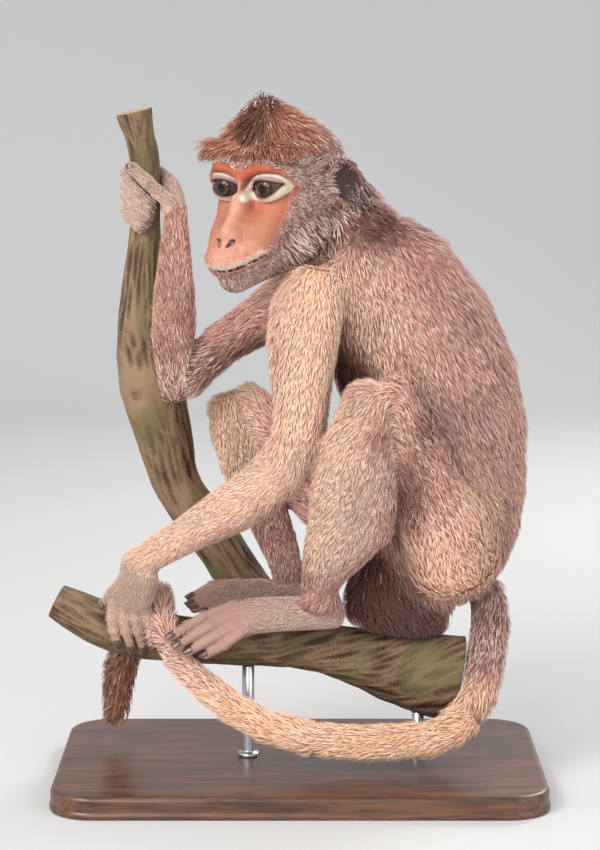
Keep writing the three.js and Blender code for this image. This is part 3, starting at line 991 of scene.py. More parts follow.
@dataclass
class Figure:
    """The whole animal as fields: its outline, its skin and how its hair lies.

    Attributes:
        head: The sculpted head.
        digits: Fingers, thumbs and toes.
        step: Spacing of the fine lattice.
        fuse: How far each solid of flesh is swollen, so that the gaps between them close.
        band: How far from the outline distances are known.
        reach: How far round each solid its traits are spread.
        scalp: How far the skin lies inside the tips of the head's hair at most.
        margin: Room left round the whole animal.
        head_room: Room left round the head.
        digit_room: Room left round each digit.
        head_blend: How softly the head joins the neck.
        shoulder: The middle of the groove over the left shoulder, which is smoothed away.
        samples: How many places are compared to find where two solids meet.
        lattice: The fine sample places.
        coarse: The sample places of the traits, with twice the spacing.
        outline: Distances to the tips of the coat.
        flesh: Distances to the skin, without the head and the digits.
        skin: Distances to the skin.
        traits: Depth, length, lift, width, bareness and the three parts of the hair's direction.
        owner: The number of the solid that each place belongs to.
        joints: Where each part meets the one before it.
        ways: The direction in which each part's hair runs.
    """

    head: Head
    digits: list[Digit]
    step: float = 1.5
    fuse: float = 0.4
    band: float = 21.0
    reach: float = 9.0
    scalp: float = 5.5
    margin: float = 12.0
    head_room: float = 8.0
    digit_room: float = 9.0
    head_blend: float = 9.0
    shoulder: tuple = (34.0, -58.0, 398.0)
    samples: int = 1400
    lattice: Lattice = field(init=False)
    coarse: Lattice = field(init=False)
    outline: Array = field(init=False)
    flesh: Array = field(init=False)
    skin: Array = field(init=False)
    traits: Array = field(init=False)
    owner: Array = field(init=False)
    joints: dict[str, Array] = field(init=False)
    ways: dict[str, Array] = field(init=False)

    def __post_init__(self) -> None:
        """Works out every field in order."""
        corners = np.array([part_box(node) for node in FLESH]) / MM
        low = corners[:, 0].min(0) - self.margin
        high = corners[:, 1].max(0) + self.margin
        self.lattice = Lattice.around(low, high, self.step)
        self.coarse = Lattice.around(low, high, 2 * self.step)
        self.find_ways()
        self.sink(self.gather())

    @cached_property
    def head_corners(self) -> Array:
        """The low and high corners of the head's CAD node."""
        return np.array(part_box("head")) / MM

    def find_ways(self) -> None:
        """Finds the direction in which each part's hair runs, from the joint before it to the joint after."""
        spread = {node: scattered(node, self.samples, seed) for seed, node in enumerate(FLESH)}
        self.joints = {}
        self.ways = {}
        for part in PARTS:
            start = meeting(spread[part.node], spread[part.before])
            end = meeting(spread[part.node], spread[part.after]) if part.after else None
            if end is None:
                end = 2 * spread[part.node].mean(0) - start
            self.joints[part.node] = start
            self.ways[part.node] = unit(end - start)

    def gather(self) -> Array:
        """Joins the solids into one outline, and spreads each part's traits over the space round it.

        A trait at a place is the mean of the parts' values, each weighted by the square of how deep the place
        lies in that part, counted from a little outside it.

        Returns:
            Distances to the solids other than the head's.
        """
        outline = np.full(self.lattice.shape, self.band, np.float32)
        body = outline.copy()
        weights = np.zeros(self.coarse.shape, np.float32)
        greatest = np.zeros(self.coarse.shape, np.float32)
        traits = np.zeros(self.coarse.shape + (Trait.WAY + 3,), np.float32)
        self.owner = np.zeros(self.coarse.shape, np.int8)
        by_node = {part.node: part for part in PARTS}
        for index, node in enumerate(FLESH):
            points, faces = cad_surface(node)
            points = points + self.fuse * point_normals(points, faces)
            window = self.lattice.about(points, self.reach)
            near = window.distances(points, faces, self.reach)
            inside = self.lattice.slices(window)
            outline[inside] = np.minimum(outline[inside], near)
            if node in by_node:
                body[inside] = np.minimum(body[inside], near)
            window = self.coarse.about(points, self.reach)
            inside = self.coarse.slices(window)
            weight = np.maximum(self.reach - window.distances(points, faces, self.reach), 0) ** 2
            self.owner[inside] = np.where(weight > greatest[inside], index, self.owner[inside])
            greatest[inside] = np.maximum(weight, greatest[inside])
            if node in by_node:
                about = by_node[node]
                values = [about.depth, about.length, about.lift, about.width,
                          float(about.cover is Cover.BARE), *self.ways[node]]
                weights[inside] += weight
                traits[inside] += weight[..., None] * np.array(values, np.float32)
        points, faces = self.lattice.surface(outline)
        self.outline = self.lattice.distances(points, faces, self.band)
        self.traits = traits / np.maximum(weights, 1e-6)[..., None]
        LOG.info("outline joined from %d solids", len(FLESH))
        return body

    def sink(self, body: Array) -> None:
        """Sets the skin inside the outline by the coat's depth, and joins the head and the digits to it.

        Args:
            body: Distances to the solids other than the head's.
        """
        points, faces = self.lattice.surface(body)
        body = self.lattice.distances(points, faces, self.band)
        self.flesh = blurred(body + self.coarse_to_fine(self.traits[..., Trait.DEPTH]), 2)
        self.smooth_shoulder()
        self.skin = self.flesh.copy()
        window = self.lattice.about(self.head_corners, self.head_room)
        inside = self.lattice.slices(window)
        skull = self.skull(window.places().reshape(-1, 3)).reshape(window.shape)
        self.skin[inside] = soft_min(self.skin[inside], skull, self.head_blend)
        for digit in self.digits:
            window = self.lattice.about(digit.path, self.digit_room)
            inside = self.lattice.slices(window)
            self.skin[inside] = soft_min(self.skin[inside], digit.field(window.places()), digit.web)

    def smooth_shoulder(self, inner: float = 32.0, outer: float = 64.0, passes: int = 22,
                        gain: float = 0.8) -> None:
        """Fills the groove over the left shoulder.

        Args:
            inner: How far from its middle the skin is smoothed in full.
            outer: How far from its middle the smoothing ends.
            passes: How often the skin is averaged.
            gain: How far it is raised in the middle.
        """
        middle = np.array(self.shoulder)
        window = self.lattice.window(middle - outer - 2, middle + outer + 2)
        inside = self.lattice.slices(window)
        share = 1 - rise(np.linalg.norm(window.places() - middle, axis=-1), inner, outer)
        self.flesh[inside] += share * (blurred(self.flesh[inside], passes) - gain - self.flesh[inside])

    def skull(self, points: Array) -> Array:
        """The head's skin, raised under crown and nape where the hair would be deeper than the scalp allows.

        Args:
            points: Places in the model's frame.

        Returns:
            Distances, below 0 inside.
        """
        p = self.head.local(points)
        face = (1 - rise(p[..., 2], 2, 16)) * rise(p[..., 0], -24, 0)
        apart = rise(np.linalg.norm(p, axis=-1), 86, 104)
        raised = self.lattice.sample(self.outline, points) + self.scalp + 20 * np.maximum(face, apart)
        return soft_min(self.head.field(points), raised, 6)

    def exact(self, points: Array) -> Array:
        """Distance to the skin, finer than the lattice round the face and the digits.

        Args:
            points: Places in the model's frame.

        Returns:
            Distances, below 0 inside.
        """
        shape = self.lattice.sample(self.flesh, points)
        near = within(points, self.head_corners, self.head_room)
        shape[near] = soft_min(shape[near], self.skull(points[near]), self.head_blend)
        for digit in self.digits:
            near = within(points, digit.path, self.digit_room)
            shape[near] = soft_min(shape[near], digit.field(points[near]), digit.web)
        return shape

    def normals(self, points: Array, reach: float = 2.5) -> Array:
        """The skin's outward direction.

        Args:
            points: Places on or near the skin.
            reach: How far to either side the skin's distance is compared.

        Returns:
            A direction of length one for each place.
        """
        ways = np.zeros(points.shape, np.float32)
        for axis in range(3):
            offset = np.zeros(3, np.float32)
            offset[axis] = reach
            ways[:, axis] = self.lattice.sample(self.skin, points + offset)
            ways[:, axis] -= self.lattice.sample(self.skin, points - offset)
        return unit(ways)

    def trait(self, points: Array) -> Array:
        """The row of traits at some places."""
        return self.coarse.sample(self.traits, points)

    def owners(self, points: Array) -> Array:
        """Which solid each place belongs to, as its number in FLESH."""
        spot = np.round(points / self.coarse.step - np.array(self.coarse.low)).astype(int)
        spot = np.clip(spot, 0, np.array(self.coarse.shape) - 1)
        return self.owner[spot[:, 0], spot[:, 1], spot[:, 2]].astype(int)

    def coarse_to_fine(self, values: Array) -> Array:
        """Carries a coarse field to the fine lattice, which has two steps to its one.

        Args:
            values: The field at the coarse sample places.

        Returns:
            The field at the fine ones.
        """
        doubled = values
        for axis in range(3):
            offset = self.lattice.low[axis] - 2 * self.coarse.low[axis]
            spot = (np.arange(self.lattice.shape[axis]) + offset) / 2
            first = np.clip(np.floor(spot).astype(int), 0, doubled.shape[axis] - 2)
            share = np.clip(spot - first, 0, 1).astype(np.float32)
            shape = [1, 1, 1]
            shape[axis] = -1
            share = share.reshape(shape)
            behind, ahead = np.take(doubled, first, axis), np.take(doubled, first + 1, axis)
            doubled = behind * (1 - share) + ahead * share
        return doubled


# ---------------------------------------------------------------- shader maths


class Value:
    """A socket that takes part in Python expressions, each of which adds its Math nodes."""

    def __init__(self, shader: "Shader", socket: bpy.types.NodeSocket) -> None:
        """Wraps one output socket of a shader."""
        self.shader = shader
        self.socket = socket

    def maths(self, operation: str, *others: "Value | float", clamp: bool = False) -> "Value":
        """Adds a Math node.

        Args:
            operation: The node's operation.
            others: What it works on, after this value.
            clamp: Whether the outcome is kept between 0 and 1.

        Returns:
            The outcome.
        """
        made = self.shader.node("ShaderNodeMath", {"operation": operation, "use_clamp": clamp},
                                dict(enumerate((self, *others))))
        return Value(self.shader, made.outputs[0])

    def __add__(self, other: "Value | float") -> "Value":
        """self + other."""
        return self.maths("ADD", other)

    def __sub__(self, other: "Value | float") -> "Value":
        """self - other."""
        return self.maths("SUBTRACT", other)

    def __rsub__(self, other: float) -> "Value":
        """other - self."""
        return (self * -1.0) + other

    def __mul__(self, other: "Value | float") -> "Value":
        """self * other."""
        return self.maths("MULTIPLY", other)

    __radd__ = __add__
    __rmul__ = __mul__

    def held(self) -> "Value":
        """Keeps the value between 0 and 1."""
        return self.maths("ADD", 0.0, clamp=True)

    def step(self, low: float, high: float) -> "Value":
        """Goes smoothly from 0 at low to 1 at high."""
        made = self.shader.node("ShaderNodeMapRange", {"interpolation_type": "SMOOTHSTEP"},
                                {"Value": self, "From Min": low, "From Max": high})
        return Value(self.shader, made.outputs[0])


Colour = tuple[float, float, float]


def tone(red: int, green: int, blue: int) -> Colour:
    """A colour in linear light from its eight-bit display values."""
    shares = (x / 255 for x in (red, green, blue))
    return tuple(x / 12.92 if x <= 0.04045 else ((x + 0.055) / 1.055) ** 2.4 for x in shares)


class Shader:
    """One material with its Principled shader, and the few ways in which nodes are added to it."""

    def __init__(self, name: str, **constants: float | Colour) -> None:
        """Makes the material.

        Args:
            name: The material's name.
            constants: Values for the Principled shader's own sockets, with _ for each space.
        """
        self.material = bpy.data.materials.new(name)
        self.material.use_nodes = True
        self.tree = self.material.node_tree
        self.tree.nodes.clear()
        sockets = {key.replace("_", " "): value for key, value in constants.items()}
        self.surface = self.node("ShaderNodeBsdfPrincipled", sockets=sockets)
        self.node("ShaderNodeOutputMaterial", sockets={"Surface": self.surface.outputs[0]})

    def node(self, kind: str, settings: dict | None = None, sockets: dict | None = None,
             stops: list[tuple[float, Colour]] | None = None) -> bpy.types.Node:
        """Adds a node.

        Args:
            kind: The node's type.
            settings: Its properties, set first.
            sockets: Its inputs by name or number: values, colours or links.
            stops: A ramp's places and colours.

        Returns:
            The node.
        """
        made = self.tree.nodes.new(kind)
        for key, value in (settings or {}).items():
            setattr(made, key, value)
        if stops:
            ramp = made.color_ramp
            for place, _ in stops[2:]:
                ramp.elements.new(place)
            for element, (place, colour) in zip(ramp.elements, stops):
                element.position = place
                element.color = (*colour, 1)
        for key, value in (sockets or {}).items():
            self.feed(made.inputs[key], value)
        return made

    def feed(self, socket: bpy.types.NodeSocket, value: object) -> None:
        """Links a socket or a value to an input, or sets the input to a number or colour.

        Args:
            socket: The input.
            value: What it is given.
        """
        if isinstance(value, Value):
            value = value.socket
        if isinstance(value, bpy.types.NodeSocket):
            self.tree.links.new(value, socket)
        elif isinstance(value, tuple) and len(socket.default_value) == 4:
            socket.default_value = (*value, 1)
        else:
            socket.default_value = value

    def dress(self, **links: object) -> bpy.types.Material:
        """Feeds what varies over the surface to the Principled shader and hands back the material.

        Args:
            links: Links or values by the socket's name, with _ for each space.

        Returns:
            The material.
        """
        for key, value in links.items():
            self.feed(self.surface.inputs[key.replace("_", " ")], value)
        return self.material

    def places(self, stretch: tuple[float, float, float] = (1, 1, 1)) -> bpy.types.NodeSocket:
        """Object coordinates, stretched along the axes.

        Args:
            stretch: How much finer a pattern becomes along each axis.

        Returns:
            The link.
        """
        coordinates = self.node("ShaderNodeTexCoord").outputs["Object"]
        if stretch == (1, 1, 1):
            return coordinates
        return self.node("ShaderNodeMapping", sockets={"Vector": coordinates, "Scale": stretch}).outputs[0]

    def layer(self, title: str) -> list[Value]:
        """The four numbers of a piece's own attribute."""
        found = self.node("ShaderNodeAttribute", {"attribute_name": title})
        parts = self.node("ShaderNodeSeparateColor", sockets={"Color": found.outputs["Color"]})
        return [Value(self, socket) for socket in (*parts.outputs, found.outputs["Alpha"])]

    def noise(self, size: float, detail: float = 3.0, where: object = None) -> Value:
        """Smooth noise whose features are about size millimetres across.

        Args:
            size: Size of the features.
            detail: How many finer layers are added.
            where: The places, if stretched.

        Returns:
            A value from 0 to 1.
        """
        made = self.node("ShaderNodeTexNoise", sockets={
            "Vector": where or self.places(), "Scale": 1 / (size * MM), "Detail": detail, "Roughness": 0.55})
        return Value(self, made.outputs["Fac"])

    def cells(self, size: float, where: object = None, feature: str = "DISTANCE_TO_EDGE") -> Value:
        """Distance within a net of cells about size millimetres across.

        Args:
            size: Size of the cells.
            where: The places, if stretched.
            feature: Which distance is measured.

        Returns:
            The distance.
        """
        made = self.node("ShaderNodeTexVoronoi", {"feature": feature},
                         {"Vector": where or self.places(), "Scale": 1 / (size * MM)})
        return Value(self, made.outputs["Distance"])

    def blend(self, share: "Value | float", first: object, second: object, mode: str = "MIX") -> Value:
        """Mixes two colours.

        Args:
            share: How much of the second there is.
            first: A colour or a link to one.
            second: Another.
            mode: How the second is laid over the first.

        Returns:
            The mixed colour.
        """
        made = self.node("ShaderNodeMix", {"data_type": "RGBA", "blend_type": mode},
                         {0: share, 6: first, 7: second})
        return Value(self, made.outputs[2])

    def bump(self, height: Value, depth: float, under: object = None) -> Value:
        """Turns a height into a normal.

        Args:
            height: From 0 to 1.
            depth: Depth of the relief in millimetres.
            under: A normal that this one is laid over.

        Returns:
            The normal.
        """
        sockets = {"Height": height, "Distance": depth * MM, "Strength": 1.0}
        if under is not None:
            sockets["Normal"] = under
        return Value(self, self.node("ShaderNodeBump", sockets=sockets).outputs[0])


# ---------------------------------------------------------------- finishes


@dataclass(frozen=True)
class Hide:
    """The colours of the animal, painted highlight and painted shade among them, and where they lie: skin and
    coat both read them.
    """

    fur: Colour = tone(224, 172, 158)
    # Paler fur, and the colour of the painted highlight of the pale marks.
    cream_and_highlight: Colour = tone(255, 208, 168)
    # The colour of painted shade; the tail's dark brush takes it too.
    shade: Colour = tone(120, 76, 63)
    crown: Colour = tone(174, 114, 88)
    grizzle: Colour = tone(145, 98, 95)
    bare: Colour = tone(167, 132, 121)
    ear: Colour = tone(64, 42, 39)
    face: Colour = tone(177, 115, 88)
    # The colour of the painted highlight down the nose and over the muzzle.
    ridge: Colour = tone(201, 152, 132)
    brow: Colour = tone(166, 82, 50)
    lid: Colour = tone(152, 128, 127)
    # Pale rims of the lids and the streak by the eye, and the painted highlight along the upper lip.
    rim: Colour = tone(224, 209, 191)
    # Dark lines: the lids' edges, and painted shade in the mouth's slot, the nostrils and the fold over the
    # upper lid.
    lines: Colour = tone(75, 37, 35)

    def colour(self, shader: Shader) -> Value:
        """Mixes the colours by the marks that the piece carries.

        Args:
            shader: The material's shader.

        Returns:
            The mixed colour.
        """
        crown, grizzle, pale, painted_shade_and_brush = shader.layer("pelt")
        face, brow, lid, rim = shader.layer("face")
        bare, ear, lines, ridge = shader.layer("bare")
        mixed = shader.blend(shader.noise(38, 2).step(0.35, 0.7) * 0.35, self.fur, self.grizzle)
        # The pale mark and ridge carry painted highlight, the fourth pelt mark painted shade with the tail's
        # own dark brush, and lines painted shade in the mouth, nostrils and lid fold.
        for share, colour in ((pale, self.cream_and_highlight), (grizzle, self.grizzle), (painted_shade_and_brush, self.shade),
                              (crown, self.crown), (bare, self.bare), (ear, self.ear), (face, self.face),
                              (ridge, self.ridge), (brow, self.brow), (lid, self.lid), (rim, self.rim),
                              (lines, self.lines)):
            mixed = shader.blend(share, mixed, colour)
        return mixed


@dataclass(frozen=True)
class SkinFinish:
    """Bare skin, finely creased with painted shade in the creases, blotched and a little oily."""

    hide: Hide
    roughness: float = 0.52
    crease: float = 1.5

    def material(self) -> bpy.types.Material:
        """Builds the material.

        Returns:
            The material.
        """
        shader = Shader("skin", Roughness=self.roughness, Specular_IOR_Level=0.4, Subsurface_Weight=0.06,
                        Subsurface_Radius=(0.004, 0.0015, 0.001))
        blotch = shader.noise(7, 4).step(0.3, 0.75)
        fine = shader.noise(1.2, 3)
        net = shader.cells(self.crease).step(0.0, 0.22)
        colour = self.hide.colour(shader)
        colour = shader.blend(0.35 * blotch, colour, (0.80, 0.66, 0.62), "MULTIPLY")
        # Painted shade in the fine creases.
        colour = shader.blend((1 - net) * 0.22, colour, (0.62, 0.45, 0.42), "MULTIPLY")
        relief = net * 0.6 + fine * 0.4
        normal = shader.bump(relief, 0.22)
        return shader.dress(Base_Color=colour, Normal=normal, Roughness=fine * 0.18 + (self.roughness - 0.09))


@dataclass(frozen=True)
class CoatFinish:
    """Hair: darker at the root by painted shade deep in the coat, ringed and paler towards the tip, and no
    two tufts quite alike.
    """

    hide: Hide
    # The painted shade at the root, as a multiplier.
    root: Colour = (0.74, 0.60, 0.58)
    ochre: Colour = (1.0, 0.86, 0.62)
    mauve: Colour = (0.86, 0.78, 0.94)
    pale: Colour = tone(253, 231, 212)

    def material(self) -> bpy.types.Material:
        """Builds the material.

        Returns:
            The material.
        """
        shader = Shader("coat", Roughness=0.62, Specular_IOR_Level=0.25, Sheen_Weight=0.25,
                        Sheen_Roughness=0.45, Sheen_Tint=(1.0, 0.9, 0.86))
        along, spread, tip, depth = shader.layer("strand")
        colour = self.hide.colour(shader)
        warm = shader.noise(4.5, 2)
        colour = shader.blend(warm.step(0.5, 0.66) * 0.55, colour, self.ochre, "MULTIPLY")
        colour = shader.blend((1 - warm.step(0.34, 0.5)) * 0.55, colour, self.mauve, "MULTIPLY")
        # Painted shade deep in the coat: the root darkens by the strand's depth.
        colour = shader.blend((1 - along.step(0.0, 0.6)) * depth, colour, self.root, "MULTIPLY")
        dark = shader.blend(1.0, colour, (0.60, 0.48, 0.46), "MULTIPLY")
        light = shader.blend(0.5, colour, self.pale)
        # Darker and paler tufts: by chance and clump, and paler where highlight is painted, darker where
        # shade is.
        colour = shader.blend(spread.step(0.1, 0.38), dark, colour)
        colour = shader.blend(spread.step(0.52, 0.88) * 0.85, colour, light)
        colour = shader.blend(tip * along.step(0.3, 0.85), colour, self.pale)
        return shader.dress(Base_Color=colour)


@dataclass(frozen=True)
class EyeFinish:
    """A wet eyeball: dark brown iris with fine rays, a black pupil and a dark brownish white."""

    iris: Colour = tone(72, 43, 31)
    iris_edge: Colour = tone(25, 16, 14)
    ray: Colour = tone(124, 74, 40)
    pupil: Colour = (0.004, 0.003, 0.003)
    white: Colour = tone(76, 56, 52)

    def material(self) -> bpy.types.Material:
        """Builds the material.

        Returns:
            The material.
        """
        shader = Shader("eye", Roughness=0.3, Coat_Weight=1.0, Coat_Roughness=0.03, Coat_IOR=1.3,
                        Specular_IOR_Level=0.08)
        across, up = shader.layer("gaze")[:2]
        x, y = across * 2 - 1, up * 2 - 1
        radius = (x * x + y * y).maths("SQRT")
        rays = shader.node("ShaderNodeCombineXYZ", sockets={0: y.maths("ARCTAN2", x) * 5.0, 1: radius * 2.0})
        grain = Value(shader, shader.node("ShaderNodeTexNoise", sockets={
            "Vector": rays.outputs[0], "Scale": 2.2, "Detail": 3.0}).outputs["Fac"])
        colour = shader.blend(radius.step(0.36, 0.6), self.iris, self.iris_edge)
        colour = shader.blend(grain.step(0.45, 0.8) * 0.45, colour, self.ray)
        colour = shader.blend(1 - radius.step(0.27, 0.35), colour, self.pupil)
        colour = shader.blend(radius.step(0.57, 0.68), colour, self.white)
        return shader.dress(Base_Color=colour)


@dataclass(frozen=True)
class NailFinish:
    """Smooth dark horn, a little paler towards the root."""

    dark: Colour = tone(52, 40, 38)
    light: Colour = tone(110, 84, 76)

    def material(self) -> bpy.types.Material:
        """Builds the material.

        Returns:
            The material.
        """
        shader = Shader("nail", Roughness=0.32, Coat_Weight=0.3, Coat_Roughness=0.15)
        streaks = shader.noise(0.6, 2, shader.places((1, 1, 0.25)))
        return shader.dress(Base_Color=shader.blend(streaks.step(0.35, 0.7), self.dark, self.light))


@dataclass(frozen=True)
class BarkFinish:
    """Weathered olive-brown bark, darker in the furrows, with green algae above and pale sawn ends."""

    ridge: Colour = tone(136, 111, 87)
    furrow: Colour = tone(67, 49, 35)
    algae: Colour = tone(95, 92, 56)
    sawn: Colour = tone(189, 161, 124)
    ring: Colour = tone(150, 112, 76)

    def material(self) -> bpy.types.Material:
        """Builds the material.

        Returns:
            The material.
        """
        shader = Shader("bark", Roughness=0.8, Specular_IOR_Level=0.3)
        end, across, height, patch = shader.layer("wood")
        fine = shader.noise(2.2, 4)
        broad = shader.noise(26, 3)
        relief = (height + fine * 0.5 - 0.25).held()
        bark = shader.blend(relief.step(0.25, 0.85), self.furrow, self.ridge)
        bark = shader.blend((patch * 0.6 + broad * 0.4).step(0.45, 0.75) * 0.6, bark, self.algae)
        bark = shader.blend(shader.noise(7, 3).step(0.55, 0.75) * 0.35, bark, (0.62, 0.55, 0.50), "MULTIPLY")
        rings = (across * 62 + fine * 0.7).maths("SINE") * 0.5 + 0.5
        wood = shader.blend(rings.step(0.2, 0.9) * 0.7, self.sawn, self.ring)
        wood = shader.blend(across.step(0.0, 0.9) * 0.3, wood, (0.8, 0.68, 0.55), "MULTIPLY")
        normal = shader.bump(relief * (1 - end) + rings * end * 0.3, 0.9)
        colour = shader.blend(end, bark, wood)
        return shader.dress(Base_Color=colour, Normal=normal, Roughness=0.9 - fine * 0.2)


@dataclass(frozen=True)
class StandFinish:
    """Dark stained wood under a satin varnish."""

    dark: Colour = tone(58, 34, 24)
    light: Colour = tone(112, 70, 46)

    def material(self) -> bpy.types.Material:
        """Builds the material.

        Returns:
            The material.
        """
        shader = Shader("stand_wood", Roughness=0.38, Coat_Weight=0.25, Coat_Roughness=0.25)
        where = shader.places((0.12, 1, 1))
        grain = shader.noise(7, 5, where)
        pores = shader.noise(1.1, 3, shader.places((0.05, 1, 1)))
        colour = shader.blend((grain * 0.7 + pores * 0.3).step(0.35, 0.68), self.dark, self.light)
        return shader.dress(Base_Color=colour, Normal=shader.bump(pores, 0.08), Roughness=grain * 0.14 + 0.32)


@dataclass(frozen=True)
class SteelFinish:
    """Plain steel brushed round the rod."""

    colour: Colour = tone(198, 200, 202)

    def material(self) -> bpy.types.Material:
        """Builds the material.

        Returns:
            The material.
        """
        shader = Shader("steel", Roughness=0.32, Metallic=1.0)
        lines = shader.noise(0.5, 2, shader.places((0.03, 0.03, 1)))
        colour = shader.blend(lines * 0.3, self.colour, (0.45, 0.45, 0.46))
        return shader.dress(Base_Color=colour, Normal=shader.bump(lines, 0.02), Roughness=lines * 0.16 + 0.24)


# ---------------------------------------------------------------- markings, painted highlight and painted shade among them


@dataclass(frozen=True)
class Patch:
    """A soft-edged stretch of colour along a line.

    Attributes:
        start: One end of the line.
        end: Its other end.
        radius: How far the full colour reaches.
        fade: How much further its edge does.
        strength: Its share in the middle.
    """

    start: tuple
    end: tuple
    radius: float
    fade: float
    strength: float = 1.0

    def share(self, points: Array) -> Array:
        """How much of the colour lies at some places."""
        return self.strength * (1 - rise(rod(points, self.start, self.end, self.radius), 0, self.fade))


def most(patches: tuple[Patch, ...], points: Array) -> Array:
    """The strongest of some patches at each place."""
    return np.max([patch.share(points) for patch in patches], axis=0)


@dataclass
class Markings:
    """Where each colour lies, painted highlight and painted shade among them, as smooth shares of 0 to 1 at
    any place.

    Attributes:
        figure: The animal.
        pale: Paler fur on the fronts of the limbs, with painted highlight where light falls on the shoulder,
            upper arm, forearm, shin, thigh and left hand, and painted light on the right knee and the rump
            where they lie in shade.
        painted_shade_and_brush: Painted shade in the groin, on the chest, behind the limbs, under the rump
            and a little on the right forearm; in the marks the tail's dark brush, its own colour, joins it.
        nape: Painted shade behind the ear and under the ruff.
        brush: The dark end of the tail.
        frost: Where grey-tipped hair grows: the back of the neck and the tail.
    """

    figure: Figure
    # Paler limb fronts and painted highlight on shoulder, upper arm, forearm, shin and thigh; the right
    # knee's and the rump's patches paint light into their shade.
    pale: tuple[Patch, ...] = (
        Patch((14, -46, 400), (2, -92, 330), 12, 30),
        Patch((44, -56, 404), (60, -62, 360), 12, 40, 0.5),
        Patch((2, -92, 330), (-8, -96, 280), 9, 24),
        Patch((-24, -88, 262), (-112, -58, 200), 5, 22, 0.8),
        Patch((50, -110, 334), (22, -100, 288), 9, 24, 0.85),
        Patch((22, -100, 288), (6, -84, 205), 6, 26, 0.8),
        Patch((100, -104, 268), (70, -112, 320), 3, 24, 0.3),
        Patch((-60, 58, 312), (-58, 44, 250), 18, 26, 1.0),
        Patch((106, -72, 196), (112, -66, 172), 6, 26, 0.5),
        Patch((138, -56, 226), (130, -58, 176), 10, 34, 0.6),
        Patch((-122, -52, 198), (-146, -44, 140), 12, 22, 0.8),
    )
    # Painted shade where the body lies in shadow: groin, chest, behind the limbs, under the rump and on the
    # right forearm.
    painted_shade_and_brush: tuple[Patch, ...] = (
        Patch((92, -86, 290), (80, -84, 170), 3, 20, 0.75),
        Patch((30, -30, 330), (20, -30, 200), 20, 26, 1.0),
        Patch((-112, 30, 330), (-124, 20, 430), 16, 20, 0.22),
        Patch((60, -95, 150), (20, -80, 150), 4, 18, 0.6),
        Patch((46, -108, 322), (84, -108, 280), 8, 26, 0.3),
        Patch((-46, 40, 270), (-24, 40, 236), 8, 20, 0.4),
        Patch((-70, 40, 330), (-30, 40, 352), 8, 22, 0.6),
        Patch((54, -16, 168), (92, -20, 128), 21, 16, 1.0),
    )
    # Painted shade in the hollow behind the ear and under the ruff.
    nape: tuple[Patch, ...] = (
        Patch((44, -58, 462), (58, -22, 450), 11, 14, 0.85),
        Patch((30, -60, 440), (4, -64, 426), 4, 9, 0.7),
    )
    brush: tuple[Patch, ...] = (Patch((-151, 38, 66), (-152, 36, 30), 20, 30),)
    frost: tuple[Patch, ...] = (
        Patch((150, 20, 150), (151, -6, 107), 20, 20, 0.5),
        Patch((60, 0, 440), (40, 0, 470), 30, 30, 0.5),
    )

    def brow_top(self, aside: Array) -> Array:
        """Height of the upper edge of the bare brow, by distance from the face's middle."""
        return 22 + 4.5 * rise(aside, 2, 15) - 0.055 * np.clip(aside - 22, 0, None) ** 2

    def cheek_edge(self, up: Array) -> Array:
        """How far forward the hair of the cheek ends, by height."""
        return 34.5 - 0.76 * up

    def bare_face(self, p: Array) -> Array:
        """The bare skin of the face.

        Args:
            p: Places in the head's frame.

        Returns:
            How bare each place is.
        """
        f, l, u = p[:, 0], np.abs(p[:, 1]), p[:, 2]
        edge = 0.5 * ripple(p, 9, 4)
        behind = rise(f - self.cheek_edge(u) + edge, -2, 2)
        above = 1 - rise(u - self.brow_top(l) + edge, -1.5, 1.5)
        beside = 1 - rise(l, 40, 45) * rise(u, 8, 13)
        return behind * above * beside * rise(self.figure.head.mouth_line(p), -3.0, -0.5)

    def on_head(self, points: Array) -> Array:
        """How far a place belongs to the head: to the skull, to an ear or to the crown.

        Args:
            points: Places in the model's frame.

        Returns:
            A share for each place.
        """
        p = self.figure.head.local(points)
        skull = 1 - rise(self.figure.head.bulk(p), 7, 12)
        ear = 1 - rise(self.beside_ear(p), 1.2, 1.4)
        crown = rise(p[:, 2], 22, 32) * rise(p[:, 0], -40, -20) * (np.linalg.norm(p, axis=1) < 90)
        return np.maximum(np.maximum(skull, ear), crown)

    def beside_ear(self, p: Array) -> Array:
        """How far places in the head's frame lie from the middle of an ear: 1 at its rim."""
        offset = mirrored(p) - np.array(self.figure.head.ear_middle)
        return np.linalg.norm(offset / np.array([14, 13, 20]), axis=1)

    def inside_ear(self, p: Array) -> Array:
        """How far places in the head's frame lie in the bare cup of an ear.

        Args:
            p: Places in the head's frame.

        Returns:
            A share for each place.
        """
        m, out, cup = self.figure.head.in_ear(p)
        above = m[:, 1] - cup
        return (1 - rise(out, 0.85, 1.0)) * rise(above, -0.5, 0.5) * (1 - rise(above, 5, 8))

    def layers(self, points: Array) -> dict[str, Array]:
        """Every mark at some places of the skin.

        Args:
            points: Places on the skin, in the model's frame.

        Returns:
            Four shares for each place, by attribute name.
        """
        head = self.figure.head
        p = head.local(points)
        m = mirrored(p)
        f, l, u = m.T
        near = self.on_head(points)
        height = head.mouth_line(p)
        along, across, ahead = head.beside_eye(p)
        points = points.astype(np.float32)
        bare_face = near * self.bare_face(p)
        ring = np.sqrt((along / 18.0) ** 2 + (across / np.where(across > 0, 12.0, 10.0)) ** 2)
        front = rise(ahead, -12, -4) * near
        lid = (1 - rise(ring, 0.9, 1.04)) * front
        lower = (1 - rise(np.abs(ring - 0.87), 0.09, 0.22)) * rise(-across, -1, 2.5) * front
        streak = 1 - rise(rod(m, (38, 37, 7.0), (25, 41, 9.5), 0), 0.6, 2.4)
        upper = (1 - rise(np.abs(ring - 0.9), 0.03, 0.1)) * rise(across, -2, 2) * front
